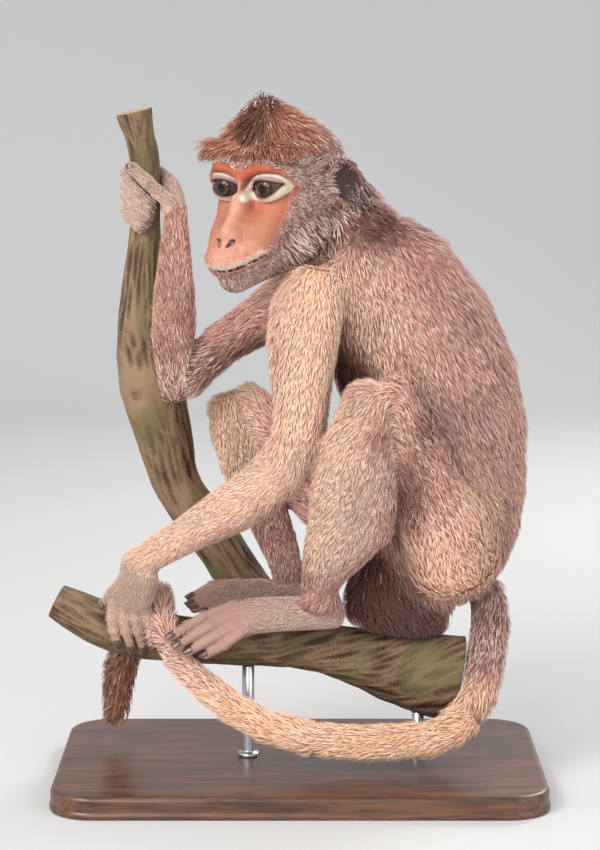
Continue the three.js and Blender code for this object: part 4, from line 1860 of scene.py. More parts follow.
        # Painted highlight along the edge of the upper lip.
        lip = 0.7 * near * rise(f, 64, 74) * rise(height, 0.5, 2) * rise(-height, -6, -3.5)
        rim = np.clip(1.0 * lower + 0.8 * upper + 0.9 * streak * near + lip, 0, 1)
        brow = bare_face * rise(u, 11, 15) * rise(ring, 0.98, 1.1) * rise(l + 0.6 * (u - 14), 0, 6)
        # Painted shade down the sides of the nose, laid in with the brow's deeper orange.
        painted_nose_shade = np.exp(-((l - 10 + 0.05 * u) / 4.5) ** 2) * rise(u, -26, -8) * (1 - rise(u, 2, 8))
        cheek = 1 - rise(f - self.cheek_edge(u), 2, 13)
        brow = np.maximum(brow, bare_face * (0.45 * painted_nose_shade + 0.55 * cheek * rise(u, -34, -10)))
        peak = 7.5 * (1 - rise(l, 2, 18)) * rise(f, 20, 40) + 1.2 * ripple(p, 7, 41)
        crown = near * rise(u + 0.12 * (40 - f) + peak, 30, 37) * (1 - 0.85 * rise(0.5 * l - f, 0, 27))
        cheeks = near * (1 - crown) * (1 - bare_face)
        grizzle = np.maximum(0.85 * cheeks, most(self.frost, points))
        wedge = crown * (1 - rise(np.hypot(f - 18, 1.3 * l), 7, 20))
        rim_of_ear = (1 - rise(self.beside_ear(p), 1.1, 1.4)) * rise(l, 47, 53)
        ears = np.maximum(self.inside_ear(p), np.maximum(0.5 * rim_of_ear, 0.45 * wedge))
        # Painted highlight down the bridge of the nose and, with the mouth's share, over the muzzle round the
        # mouth.
        ridge = bare_face * np.exp(-(l / (4.5 + 0.13 * np.clip(12 - u, 0, 50))) ** 2) * (1 - rise(u, 8, 14))
        mouth = bare_face * rise(f, 66, 76) * rise(-u, 24, 32)
        ridge = np.maximum(ridge, 0.8 * mouth * (0.75 + 0.5 * ripple(p, 6, 51)))
        # Painted shade in the slot where the lips meet.
        lines = near * rise(f, 60, 68) * np.exp(-(height / 1.6) ** 4)
        gap = head.between_lids(along, across)
        edge = (1 - rise(np.abs(gap + 0.3), 0.5, 1.3)) * (np.abs(along) < head.opening + 1) * (ahead > 0)
        lines = np.maximum(lines, edge * near * np.where(across > 0, 0.95, 0.6))
        # Painted shade in the fold over the upper lid.
        fold = np.exp(-((ring - 1.01) / 0.07) ** 2) * rise(across, 1, 4) * front
        lines = np.maximum(lines, 0.6 * fold)
        # Painted shade in the nostrils.
        slit = np.minimum(rod(m, (82.5, 3.4, -29.8), (80, 6, -27.2), 1.0, 1.7),
                          rod(m, (80, 6, -27.2), (77, 8.6, -24.8), 1.7, 0.7))
        lines = np.maximum(lines, 1 - rise(slit, -0.2, 1.0))
        tail = 0.9 * (1 - rise(points[:, 2], 70, 110)) * rise(points[:, 0], -125, -95)
        # Pale: paler fur and painted highlight from the patches, and the tail's pale edges, its own colour.
        pale = np.maximum(most(self.pale, points) * (0.85 + 0.25 * ripple(points, 60, 8)), tail)
        pale = np.clip(pale, 0, 1) * (1 - near)
        # Painted shade from its patches and the nape's, joined below by the tail's dark brush, which is its
        # own colour.
        painted_shade_and_brush = np.maximum(most(self.painted_shade_and_brush, points) * (1 - near), most(self.nape, points))
        brush = most(self.brush, points)
        crown, painted_shade_and_brush = np.maximum(crown, brush), np.maximum(painted_shade_and_brush, 0.7 * brush)
        bare = rise(self.figure.trait(points)[:, Trait.BARE], 0.3, 0.95) * (1 - near) * (1 - 0.6 * pale)
        return {
            "pelt": np.stack([crown, np.clip(grizzle, 0, 1), pale, painted_shade_and_brush], -1),
            "face": np.stack([bare_face, brow, lid, rim], -1),
            "bare": np.stack([bare, ears, lines, ridge * 0.7], -1),
        }


# ---------------------------------------------------------------- skin


def refined(points: Array, triangles: Array, chosen: Array) -> tuple[Array, Array]:
    """Splits the chosen triangles in four, and their neighbours where they share a split edge.

    Args:
        points: Places.
        triangles: Rows of three.
        chosen: Which triangles to split.

    Returns:
        The places with the new ones added, and the triangles.
    """
    pairs = np.sort(triangles[:, [[0, 1], [1, 2], [2, 0]]], -1).astype(np.int64)
    edges, index = np.unique(pairs[..., 0] * len(points) + pairs[..., 1], return_inverse=True)
    index = index.reshape(triangles.shape)
    split = np.zeros(len(edges), bool)
    split[index[chosen]] = True
    number = np.cumsum(split) - 1 + len(points)
    ends = np.stack([edges[split] // len(points), edges[split] % len(points)], -1)
    cut = split[index]
    count = cut.sum(1)
    first = np.where(count == 2, (np.argmin(cut, 1) + 1) % 3, np.argmax(cut, 1))
    turn = (first[:, None] + np.arange(3)) % 3
    corner = np.take_along_axis(triangles, turn, 1)
    middle = np.take_along_axis(number[index], turn, 1)
    a, b, c = corner.T
    ab, bc, ca = middle.T
    made = [triangles[count == 0]]
    plans = {1: ((a, ab, c), (ab, b, c)), 2: ((ab, b, bc), (a, ab, c), (ab, bc, c)),
             3: ((a, ab, ca), (ab, b, bc), (bc, c, ca), (ab, bc, ca))}
    for times, plan in plans.items():
        made += [np.stack(piece, -1)[count == times] for piece in plan]
    return np.concatenate([points, points[ends].mean(1)]), np.concatenate(made)


def evened(points: Array, triangles: Array, share: Array) -> Array:
    """Moves points towards the middle of their neighbours, along the surface only.

    Args:
        points: Places.
        triangles: Rows of three.
        share: How much of the way each point goes.

    Returns:
        The points in their new places.
    """
    pairs = np.unique(np.sort(triangles[:, [[0, 1], [1, 2], [2, 0]]].reshape(-1, 2), -1), axis=0)
    a, b = pairs.T
    count = np.bincount(pairs.ravel(), minlength=len(points))
    total = np.stack([np.bincount(a, points[b, k], len(points)) + np.bincount(b, points[a, k], len(points))
                      for k in range(3)], -1)
    shift = total / np.maximum(count, 1)[:, None] - points
    normals = point_normals(points, triangles)
    shift -= (shift * normals).sum(-1, keepdims=True) * normals
    return points + shift * share[:, None]


@dataclass
class Skin:
    """The one skin under the whole coat, finest where it is bare.

    Attributes:
        figure: The animal.
        marks: Its markings.
        furry_share: Share of the triangles that is kept where hair covers them.
        rounds: How often the fine points are evened out.
        probe: How far from a point the exact skin is measured.
        stride: The furthest that a point moves at a time.
    """

    figure: Figure
    marks: Markings
    furry_share: float = 0.09
    rounds: int = 3
    probe: float = 0.25
    stride: float = 0.8

    def detail(self, points: Array) -> Array:
        """How many times the skin is split.

        Args:
            points: Places on the skin.

        Returns:
            A number for each place: -1 where hair covers it.
        """
        head = self.figure.head
        p = head.local(points)
        f, l, u = p[:, 0], np.abs(p[:, 1]), p[:, 2]
        along, across, ahead = head.beside_eye(p)
        level = np.full(len(points), -1)
        level[self.figure.trait(points)[:, Trait.BARE] > 0.4] = 0
        face = (np.linalg.norm(p, axis=1) < 125) & (f > 22) & (l < 46) & (u < 34)
        eyes = (np.hypot(along, across * 1.2) < 16) & (ahead > -4)
        nose = np.linalg.norm(p - [79, 0, -26], axis=1) < 11
        lips = (f > 64) & (np.abs(head.mouth_line(p)) < 3)
        seen = (self.marks.bare_face(p) > 0.02) | (np.hypot(along, across) < 24)
        level[face] = 0
        level[face & (seen | nose | lips)] = 1
        level[face & (eyes | nose | lips)] = 2
        return level

    def thinned(self, points: Array, quads: Array) -> tuple[Array, Array]:
        """Merges faces where hair covers them.

        Args:
            points: The skin's points.
            quads: Its faces.

        Returns:
            The points and triangles that are left.
        """
        draft = build_mesh("skin_draft", points, quads)
        covered = np.flatnonzero(self.detail(points) < 0)
        draft.vertex_groups.new(name="covered").add(covered.tolist(), 1.0, "REPLACE")
        kept = 1 - len(covered) / len(points)
        thin = draft.modifiers.new("thin", "DECIMATE")
        thin.ratio = kept + (1 - kept) * self.furry_share
        thin.vertex_group = "covered"
        thin.vertex_group_factor = 1000.0
        thin.use_collapse_triangulate = True
        places, corners = read_mesh(draft.evaluated_get(bpy.context.evaluated_depsgraph_get()).to_mesh())
        LOG.info("skin thinned from %d to %d triangles", 2 * len(quads), len(corners))
        bpy.data.objects.remove(draft)
        return places, corners.astype(np.int64)

    def settled(self, points: Array, triangles: Array, level: Array) -> Array:
        """Evens out the fine points and moves them to the exact skin.

        The skin's slope comes from its distance at the four corners of a small tetrahedron round each point.

        Args:
            points: The skin's points.
            triangles: Its faces.
            level: How many times the skin is split at each point.

        Returns:
            The points in their new places.
        """
        moving = np.flatnonzero(level >= 0)
        tips = np.array([(1, 1, 1), (1, -1, -1), (-1, 1, -1), (-1, -1, 1)], np.float32)
        for _ in range(self.rounds):
            points = evened(points, triangles, 0.5 * (level >= 0))
            for _ in range(2):
                near = points[moving].astype(np.float32)
                values = [self.figure.exact(near + self.probe * tip) for tip in tips]
                slope = sum(value[:, None] * tip for value, tip in zip(values, tips)) / (4 * self.probe)
                height = sum(values) / 4
                size = np.maximum((slope ** 2).sum(-1), 0.3)
                points[moving] -= np.clip(height / size, -self.stride, self.stride)[:, None] * slope
        return points

    def build(self, points: Array, quads: Array, material: bpy.types.Material) -> bpy.types.Object:
        """Makes the piece.

        Args:
            points: The points of the skin's fine mesh.
            quads: Its faces.
            material: What the skin is made of.

        Returns:
            The piece.
        """
        points, triangles = self.thinned(points, quads)
        for times in (1, 2):
            level = self.detail(points)
            points, triangles = refined(points, triangles, (level[triangles] >= times).all(1))
        points = self.settled(points, triangles, self.detail(points))
        piece = build_mesh("skin", points, triangles, self.marks.layers(points))
        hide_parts(*FLESH)
        return settle(piece, material)


# ---------------------------------------------------------------- eyes and nails


@dataclass(frozen=True)
class Eyes:
    """Two eyeballs with a bulging cornea.

    Attributes:
        head: The head that they sit in.
        cornea: How far the cornea stands out.
        cornea_edge: Degrees from its middle to its edge.
        rows: Rings from front to back.
        columns: Points round each ring.
        gaze: The way that they look, in the head's frame.
    """

    head: Head
    cornea: float = 0.5
    cornea_edge: float = 38.0
    rows: int = 48
    columns: int = 64
    gaze: tuple = (1.0, 0.03, 0.02)

    def build(self, side: int, name: str, material: bpy.types.Material) -> bpy.types.Object:
        """Makes one eye: rings of radius r sin a round the way it looks, and the cornea's bulge.

        Args:
            side: 1 for the left and -1 for the right.
            name: The piece's name.
            material: What it is made of.

        Returns:
            The piece.
        """
        radius = self.head.eye_radius
        ahead = unit(self.head.turned(self.gaze))
        across = unit(np.cross(self.head.turned((0, 0, 1)), ahead))
        axes = np.stack([across, np.cross(ahead, across), ahead])
        polar = np.linspace(0.02, math.pi - 0.02, self.rows)[:, None]
        turn = np.linspace(0, 2 * math.pi, self.columns, endpoint=False)[None]
        sphere = np.stack([np.sin(polar) * np.cos(turn), np.sin(polar) * np.sin(turn),
                           np.cos(polar) + 0 * turn], -1)
        bulge = self.cornea * np.clip(1 - (polar / math.radians(self.cornea_edge)) ** 2, 0, 1) ** 1.5
        points, faces = capped((radius + bulge)[..., None] * sphere)
        layer = np.concatenate([points / radius * 0.5 + 0.5, np.ones((len(points), 1))], -1)
        points = points @ axes + self.head.eyes[side]
        piece = build_mesh(name, points, outward(points, faces), {"gaze": layer})
        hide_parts("eye_left" if side > 0 else "eye_right")
        return settle(piece, material)


def outward(points: Array, faces: Array) -> Array:
    """Turns the faces of a closed mesh over if they face inwards, which its volume tells.

    Args:
        points: Places.
        faces: Rows of four, where a triangle repeats its last point.

    Returns:
        The faces.
    """
    a, b, c, d = (points[faces[:, k]] - points.mean(0) for k in range(4))
    volume = (np.cross(a, b) * c).sum() + (np.cross(a, c) * d).sum()
    return faces if volume > 0 else np.where((faces[:, 2] == faces[:, 3])[:, None],
                                             faces[:, [1, 0, 2, 2]], faces[:, ::-1])


@dataclass(frozen=True)
class Nails:
    """Long dark nails, each a curved plate over the end of a digit.

    Attributes:
        length: From root to free edge.
        spread: Degrees to either side that a nail wraps round the digit.
        thickness: Of the plate.
    """

    length: float = 8.0
    spread: float = 50.0
    thickness: float = 0.8

    def plate(self, digit: Digit) -> tuple[Array, Array]:
        """One nail: an arc round the digit's tip, carried along it as it narrows and bends down.

        Args:
            digit: The finger, thumb or toe.

        Returns:
            The nail's points and faces.
        """
        radius = digit.girth(len(digit.path) - 1)
        along = unit(digit.path[-1] - digit.path[-2])
        across = np.cross(along, digit.back)
        rows = np.linspace(0, 1, 9)[:, None]
        turn = np.radians(np.linspace(-self.spread, self.spread, 9))[None]
        wide = np.sqrt(np.clip(1 - (rows - 0.35) ** 2 * 1.15, 0.05, 1)) * (1 - 0.25 * rows ** 3)
        rings = []
        for out, order in ((0.0, slice(None)), (-self.thickness, slice(None, None, -1))):
            reach = radius + 0.55 + out
            side = reach * np.sin(turn * wide)[:, order]
            up = reach * np.cos(turn * wide)[:, order] - 0.22 * radius * rows ** 2.6
            ahead = (rows - 0.42) * self.length + 0 * side
            rings.append(side[..., None] * across + up[..., None] * digit.back + ahead[..., None] * along)
        points, faces = capped(np.concatenate(rings, 1) + digit.path[-1])
        return points, outward(points, faces)

    def build(self, digits: list[Digit], material: bpy.types.Material) -> bpy.types.Object:
        """Makes all nails as one piece."""
        return settle(joined("nails", [self.plate(digit) for digit in digits]), material)


def joined(name: str, parts: list[tuple[Array, Array]]) -> bpy.types.Object:
    """Writes several sets of points and faces into one object.

    Args:
        name: The object's name.
        parts: Points and faces of each.

    Returns:
        The object.
    """
    starts = np.cumsum([0] + [len(points) for points, _ in parts[:-1]])
    points = np.concatenate([points for points, _ in parts])
    faces = np.concatenate([faces + start for (_, faces), start in zip(parts, starts)])
    return build_mesh(name, points, faces)


# ---------------------------------------------------------------- coat


OVER = 1.2  # how far a tuft's tip may stand out from the outline


@dataclass
class Growth:
    """How the hair grows at a set of roots.

    Attributes:
        way: Direction that each tuft runs in.
        length: How long it is.
        lift: Degrees that it leaves the skin at.
        width: How wide it is.
        density: Layers of hair that lie over one another, and 0 where none grows.
        tip: How many of the tips are pale.
        light: How pale whole tufts are, with 0 as the common shade.
        over: How far a tip may stand out from the outline.
    """

    way: Array
    length: Array
    lift: Array
    width: Array
    density: Array
    tip: Array
    light: Array
    over: Array

    def mix(self, other: "Growth", share: Array) -> "Growth":
        """Goes over to another growth.

        Args:
            other: The growth to go over to.
            share: How far, at each root.

        Returns:
            The growth between the two.
        """
        blended = {}
        for name, first in vars(self).items():
            weight = share[:, None] if name == "way" else share
            blended[name] = first * (1 - weight) + getattr(other, name) * weight
        return Growth(**blended)

    @classmethod
    def plain(cls, way: Array, length: float, lift: float, width: float, density: float,
              tip: float) -> "Growth":
        """The same growth at every root, apart from its direction.

        Args:
            way: Direction at each root.
            length: How long each tuft is.
            lift: Degrees that it leaves the skin at.
            width: How wide it is.
            density: Layers of hair.
            tip: How many of the tips are pale.

        Returns:
            The growth.
        """
        values = (length, lift, width, density, tip, 0, OVER)
        return cls(way, *(np.full(len(way), value, np.float32) for value in values))


@dataclass
class Coat:
    """The fur: closed tufts, each a thin flattened spindle that follows the lie of the hair.

    Attributes:
        figure: The animal.
        marks: Its markings.
        layers: How many tufts lie over one another on the body.
        triangles: The most triangles in one piece.
        root: How deep a tuft's root lies in the skin.
        seed: Chooses the places of the roots.
        share: Share of the tufts asked for that are grown.
        droop: How much of a tuft's rise is lost towards its tip.
        bend: How far tufts commonly bend aside, as a share of their length.
        flatness: A tuft's thickness as a share of its width.
        elbow: Where the tips pale into a fringe.
        painted_highlights: Painted highlight that makes whole tufts paler: the outer side of the left thigh
            and shin, and the right knee.
    """

    figure: Figure
    marks: Markings
    layers: float = 5.5
    triangles: int = 195_000
    root: float = 0.6
    seed: int = 11
    share: float = 0.84
    droop: float = 0.42
    bend: float = 0.07
    flatness: float = 0.75
    elbow: tuple[Patch, ...] = (Patch((-104, 34, 312), (-64, 40, 332), 16, 16),)
    # Painted highlight on the left thigh and shin and on the right knee, which lies in shade.
    painted_highlights: tuple[Patch, ...] = (
        Patch((52, -112, 262), (26, -96, 205), 16, 26),
        Patch((-62, 54, 304), (-62, 46, 264), 14, 16),
    )

    def body_growth(self, points: Array) -> Growth:
        """How hair grows on neck, trunk, limbs and tail.

        Args:
            points: Places on the skin.

        Returns:
            The growth there.
        """
        traits = self.figure.trait(points)
        bare = rise(traits[:, Trait.BARE], 0.3, 0.9)
        away = np.full(len(points), 99.0)
        for node, joint in self.figure.joints.items():
            if node.startswith(("hand", "foot")):
                away = np.minimum(away, np.linalg.norm(points - joint, axis=1))
        density = self.layers * (1 - bare) + 3.2 * bare * (1 - rise(away, 24, 74))
        tails = [FLESH.index(part.node) for part in PARTS if part.cover is Cover.TAIL]
        tail = np.isin(self.figure.owners(points), tails)
        elbow, brush = most(self.elbow, points), most(self.marks.brush, points)
        tip = np.where(tail, 0.5, 0.12) + 0.6 * elbow - 0.4 * brush
        length = np.maximum(traits[:, Trait.LENGTH], 4)
        width = np.maximum(traits[:, Trait.WIDTH], 0.5)
        # Tufts are paler where highlight is painted, and on the hands and feet.
        light = 0.5 * most(self.marks.pale, points) + 0.5 * bare + 0.4 * most(self.painted_highlights, points)
        way, lift = unit(traits[:, Trait.WAY:]), traits[:, Trait.LIFT]
        return Growth(way, length, lift, width, density, tip, light, OVER + 0 * tip)

    def head_growth(self, points: Array) -> Growth:
        """How hair grows on the head: outwards over the crown, back on the cheeks and down into the ruff.

        Args:
            points: Places on the skin.

        Returns:
            The growth there.
        """
        head = self.figure.head
        p = head.local(points)
        f, l, u = p.T
        aside, side = np.abs(l), np.sign(l)
        one = np.ones(len(p))

        def way(forward: Array, left: Array, up: Array) -> Array:
            """Directions from parts in the head's frame."""
            return head.turned(unit(np.stack([forward * one, left * one, up * one], -1)))

        cheek = Growth.plain(way(-0.8, 0.25 * side, -0.45 - 0.3 * rise(-u, 0, 40)), 9, 16, 0.85, 6, 0.45)
        cheek.length = 5.5 + 6.0 * rise(36 - f - 0.5 * u, 0, 40)
        ruff = Growth.plain(way(-0.5, 0.3 * side, -0.85), 17, 34, 1.5, 6, 0.6)
        stripe = np.sin(2 * math.pi * (-0.93 * f + 0.28 * aside + 0.22 * u) / 5.2 + 1.3 * ripple(p, 16, 31))
        lock = rise(stripe, -0.35, 0.45)
        ruff.length, ruff.lift = 12 + 6 * lock, 22 + 16 * lock
        ruff.tip, ruff.light = 0.05 + 0.9 * lock, 0.7 * lock - 0.28
        chin = Growth.plain(way(-0.35, 0.15 * side, -0.9), 5.5, 24, 0.7, 5, 0.5)
        temple = Growth.plain(way(-0.75, 0.3 * side, 0.35 + 0 * u), 8, 18, 0.8, 6, 0.4)
        nape = Growth.plain(way(-0.85, 0.12 * side, -0.5), 16, 26, 1.05, 6, 0.35)
        reach = np.hypot(f - 10, 1.05 * l)
        middle = 1 - rise(reach, 4, 22)
        outwards = way((f - 10) / (reach + 6), 1.05 * l / (reach + 6), -0.15 - 0.5 * rise(reach, 20, 55))
        crown = Growth.plain(outwards, 18, 22, 1.1, 7, 0.10)
        front = rise(f, 26, 48)
        wing = rise(aside, 10, 22) * rise(f, 6, 22) * rise(u, 34, 44)
        crown.lift = 26 + 50 * middle - 12 * front * (1 - wing) + 22 * wing
        crown.length = 18 + 2 * middle - 9 * front * (1 - wing) + 5 * wing
        crown.over = OVER + 8 * wing
        crown.density = 7 + 7 * (1 - rise(reach, 3, 14))
        crown.tip = 0.05 + 0.4 * rise(-f, -2, 34) + 0.45 * (1 - rise(reach, 2, 11))
        crown.light = -0.75 * (1 - rise(np.hypot(f - 18, 1.3 * l), 7, 20))
        lip = Growth.plain(way(0.15, 0.6 * side, -0.5), 2.6, 22, 0.34, 2.2, 0.9)
        grown = cheek.mix(temple, rise(u, 2, 16) * rise(40 - f, 4, 20))
        grown = grown.mix(nape, rise(-f, 8, 26) * (1 - rise(-u, 26, 44)))
        grown = grown.mix(ruff, rise(-u, 14, 28) * rise(44 - f, -12, 10) * rise(aside, 6, 18))
        grown = grown.mix(chin, rise(f, 44, 60) * rise(-head.mouth_line(p), -3, 2))
        grown = grown.mix(crown, rise(u - 0.10 * (40 - f) * rise(f, 0, 1), 26, 33) * rise(f, -44, -20))
        bare = self.marks.bare_face(p)
        brow = bare * rise(u, 14, 19) * rise(f, 30, 40)
        mouth = head.mouth_line(p)
        above = (mouth > 1.9) & (mouth < 6) & (f > 60)
        near_lip = bare * above
        grown.density = grown.density * (1 - rise(bare, 0.25, 0.6))
        grown = grown.mix(lip, near_lip)
        between = (np.abs(mouth) < 1.9) & (f > 64)
        grown.density = np.where((bare * (1 - near_lip) > 0.6) | between, 0, grown.density)
        grown.length = grown.length * (1 - 0.35 * brow)
        return self.with_ears(grown, p)

    def with_ears(self, grown: Growth, p: Array) -> Growth:
        """Thins the hair on the ears to a fringe over rim and back, and sets a lock before them.

        Args:
            grown: The growth round them.
            p: Places in the head's frame.

        Returns:
            The growth with the ears'.
        """
        head = self.figure.head
        side = np.sign(p[:, 1])
        middle = np.array(head.ear_middle)
        offset = p - middle * np.stack([np.ones(len(p)), side, np.ones(len(p))], -1)
        on_ear = (1 - rise(self.marks.beside_ear(p), 0.95, 1.15)) * rise(np.abs(p[:, 1]), 41, 46)
        fringe = Growth.plain(head.turned(unit(offset + np.array([-5, 0, 4]))), 6.5, 24, 0.7, 3.6, 0.7)
        fringe.density = 3.6 * (1 - self.marks.inside_ear(p)) + 0.25
        ahead = np.linalg.norm((offset - np.array([9, 0, 11]) * (1, 0, 1)) / np.array([9, 11, 9]), axis=1)
        lock = Growth.plain(head.turned(unit(np.stack([-0.7 + 0 * side, 0.5 * side, 0.5 + 0 * side], -1))),
                            13, 24, 1.2, 6, 0.75)
        return grown.mix(lock, 1 - rise(ahead, 0.7, 1.2)).mix(fringe, on_ear)

    def growth(self, points: Array) -> Growth:
        """How hair grows anywhere: the head's growth and the body's meet behind the skull.

        Args:
            points: Places on the skin.

        Returns:
            The growth there.
        """
        body = self.body_growth(points)
        p = self.figure.head.local(points)
        near = np.linalg.norm(p, axis=1) < 120
        share = np.zeros(len(points))
        own = self.figure.owners(points[near]) <= FLESH.index("ear_right")
        fade = 1 - rise(self.figure.head.bulk(p[near]), 9, 16)
        share[near] = np.maximum(fade, own * rise(p[near, 2], 8, 22))
        return body.mix(self.head_growth(points), share)

    def sow(self, points: Array, quads: Array) -> tuple[Array, Array, Growth]:
        """Scatters roots over the skin, as many to each quad as its growth asks for.

        Args:
            points: The skin's points.
            quads: Its faces.

        Returns:
            The roots, the skin's outward direction there and how each tuft grows.
        """
        rng = np.random.default_rng(self.seed)
        corners = points[quads]
        middle = corners.mean(1)
        area = np.linalg.norm(face_normals(points, quads), axis=1) / 2
        grown = self.growth(middle)
        count = self.share * area * grown.density / (grown.length * grown.width)
        total = np.cumsum(count)
        number = int(total[-1])
        chosen = np.searchsorted(total, (np.arange(number) + rng.random(number)) * total[-1] / number)
        a, b = rng.random((2, number, 1))
        c = corners[np.minimum(chosen, len(quads) - 1)]
        roots = (c[:, 0] * (1 - a) + c[:, 1] * a) * (1 - b) + (c[:, 3] * (1 - a) + c[:, 2] * a) * b
        return roots, self.figure.normals(roots), self.growth(roots)

    def combed(self, roots: Array, normals: Array, grown: Growth, rng: np.random.Generator) -> Array:
        """Lays the directions along the skin and lets neighbours lean together into locks.

        Args:
            roots: Where the tufts grow.
            normals: The skin's outward direction there.
            grown: How they grow.
            rng: Gives each tuft a lean of its own.

        Returns:
            The direction of each tuft.
        """
        way = unit(grown.way - (grown.way * normals).sum(-1, keepdims=True) * normals)
        across = np.cross(normals, way)
        lean = 0.16 * ripple(roots, 34, 21) + 0.15 * ripple(roots, 9, 22) + 0.12 * rng.normal(size=len(roots))
        return unit(way + across * lean[:, None])

    def spindles(self, roots: Array, normals: Array, grown: Growth, rings: int) -> tuple[Array, Array, Array]:
        """Builds the tufts' points.

        Args:
            roots: Where they grow.
            normals: The skin's outward direction there.
            grown: How they grow.
            rings: Rings of three points below the tip.

        Returns:
            Points by tuft and place in the tuft, the share of the length at each place, and a random number
            for each tuft.
        """
        rng = np.random.default_rng(self.seed + 1)
        count = len(roots)
        chance = rng.random(count)
        way = self.combed(roots, normals, grown, rng)
        across = np.cross(normals, way)
        length = grown.length * rng.uniform(0.72, 1.15, count)
        lift = np.radians(grown.lift * rng.uniform(0.55, 1.25, count))
        share = np.linspace(0, 1, rings + 1)
        run = length[:, None] * share * np.cos(lift)[:, None]
        rise_up = length[:, None] * np.sin(lift)[:, None] * (share - self.droop * share ** 2)
        bend = (rng.normal(size=count) * self.bend)[:, None] * length[:, None] * share ** 2
        spine = (roots[:, None] + way[:, None] * run[..., None] + normals[:, None] * rise_up[..., None]
                 + across[:, None] * bend[..., None])
        spine[:, 0] -= normals * self.root
        for place in range(1, rings + 1):
            self.hold(spine[:, place], normals, share[place], grown.over)
        half = grown.width * rng.uniform(0.75, 1.2, count) / 2
        girth = np.interp(share[:rings], [0, 0.35, 1], [0.75, 1.0, 0.35])
        out = np.cross(unit(spine[:, -1] - spine[:, 0]), across)
        out = np.where((out * normals).sum(-1, keepdims=True) > 0, out, -out)
        sides = [across, -across, out * self.flatness]
        corners = [spine[:, :rings] + (girth * half[:, None])[..., None] * side[:, None] for side in sides]
        body = np.stack(corners, 2).reshape(count, rings * 3, 3)
        points = np.concatenate([body, spine[:, -1:]], 1)
        return points, np.append(np.repeat(share[:rings], 3), 1.0), chance

    def hold(self, places: Array, normals: Array, share: float, over: Array) -> None:
        """Moves places that stand out too far, or that run into the skin, back along the skin's normals.

        Args:
            places: Places along the tufts, which are changed.
            normals: The skin's outward direction at each tuft's root.
            share: How far along the tufts they lie.
            over: How far each tip may stand out from the outline.
        """
        lattice = self.figure.lattice
        out = lattice.sample(self.figure.outline, places)
        places -= normals * np.clip(out - over * share, 0, 12)[:, None]
        depth = lattice.sample(self.figure.skin, places)
        places += normals * np.clip(0.5 + 0.9 * share - depth, 0, 6)[:, None]

    def unwrapped(self, points: Array) -> Array:
        """Places on an unwrap of the skin: each solid in its own cell, wound round the line of its hair.

        Args:
            points: Places on the skin.

        Returns:
            Two numbers from 0 to 1 for each place.
        """
        own = self.figure.owners(points)
        flat = np.zeros((len(points), 2))
        columns = 5
        inset, used = 0.03, 0.94
        for index, node in enumerate(FLESH):
            here = np.flatnonzero(own == index)
            if len(here) == 0:
                continue
            axis = self.figure.ways.get(node, self.figure.head.axes[2])
            first = unit(np.cross(axis, [0.31, 0.62, 0.72]))
            offset = points[here] - points[here].mean(0)
            turn = np.arctan2(offset @ np.cross(axis, first), offset @ first) / (2 * math.pi) + 0.5
            along = offset @ axis
            along = (along - along.min()) / max(float(np.ptp(along)), 1e-6)
            cell = np.array([index % columns, index // columns])
            flat[here] = (cell + inset + used * np.stack([turn, along], -1)) / columns
        return flat

    def faces(self, rings: int) -> Array:
        """Triangles of one tuft: its base, its sides and its tip.

        Args:
            rings: Rings of three points below the tip.

        Returns:
            Rows of three point numbers.
        """
        made = [(0, 2, 1)]
        for ring in range(rings - 1):
            for k in range(3):
                a, b = 3 * ring + k, 3 * ring + (k + 1) % 3
                made += [(a, b, b + 3), (a, b + 3, a + 3)]
        top = 3 * (rings - 1)
        made += [(top + k, top + (k + 1) % 3, 3 * rings) for k in range(3)]
        return np.array(made)

    def piece(self, name: str, roots: Array, normals: Array, grown: Growth, rings: int,
              material: bpy.types.Material, slot: str) -> bpy.types.Object:
        """Makes one piece of the coat.

        Args:
            name: The piece's name.
            roots: Where its tufts grow.
            normals: The skin's outward direction there.
            grown: How they grow.
            rings: Rings of three points below each tip.
            material: What the hair is made of.
            slot: Not used.

        Returns:
            The piece.
        """
        points, share, chance = self.spindles(roots, normals, grown, rings)
        size = points.shape[1]
        one = self.faces(rings)
        a, b, c = (points[:, corner] for corner in one[0])
        if (np.cross(b - a, c - a) * normals).sum() > 0:
            one = one[:, ::-1]
        faces = (one[None] + (np.arange(len(roots)) * size)[:, None, None]).reshape(-1, 3)
        clump = 0.5 + 0.28 * ripple(roots, 11, 5) + 0.1 * ripple(roots, 45, 6)
        marks = self.marks.layers(roots)
        crown, painted_shade_and_brush = marks["pelt"][:, 0], marks["pelt"][:, 3]
        # Painted shade darkens tufts and takes away their pale tips; the crown's tufts are darker by their
        # own colour.
        spread = np.clip(0.55 * chance + 0.45 * clump + grown.light, 0, 1) * (1 - 0.2 * crown - 0.45 * painted_shade_and_brush)
        tip = (np.random.default_rng(self.seed + 2).random(len(roots)) < grown.tip * (1 - 0.9 * painted_shade_and_brush)) * 0.9
        strand = np.zeros((len(roots), size, 4))
        strand[..., 0] = share
        strand[..., 1] = spread[:, None]
        strand[..., 2] = tip[:, None]
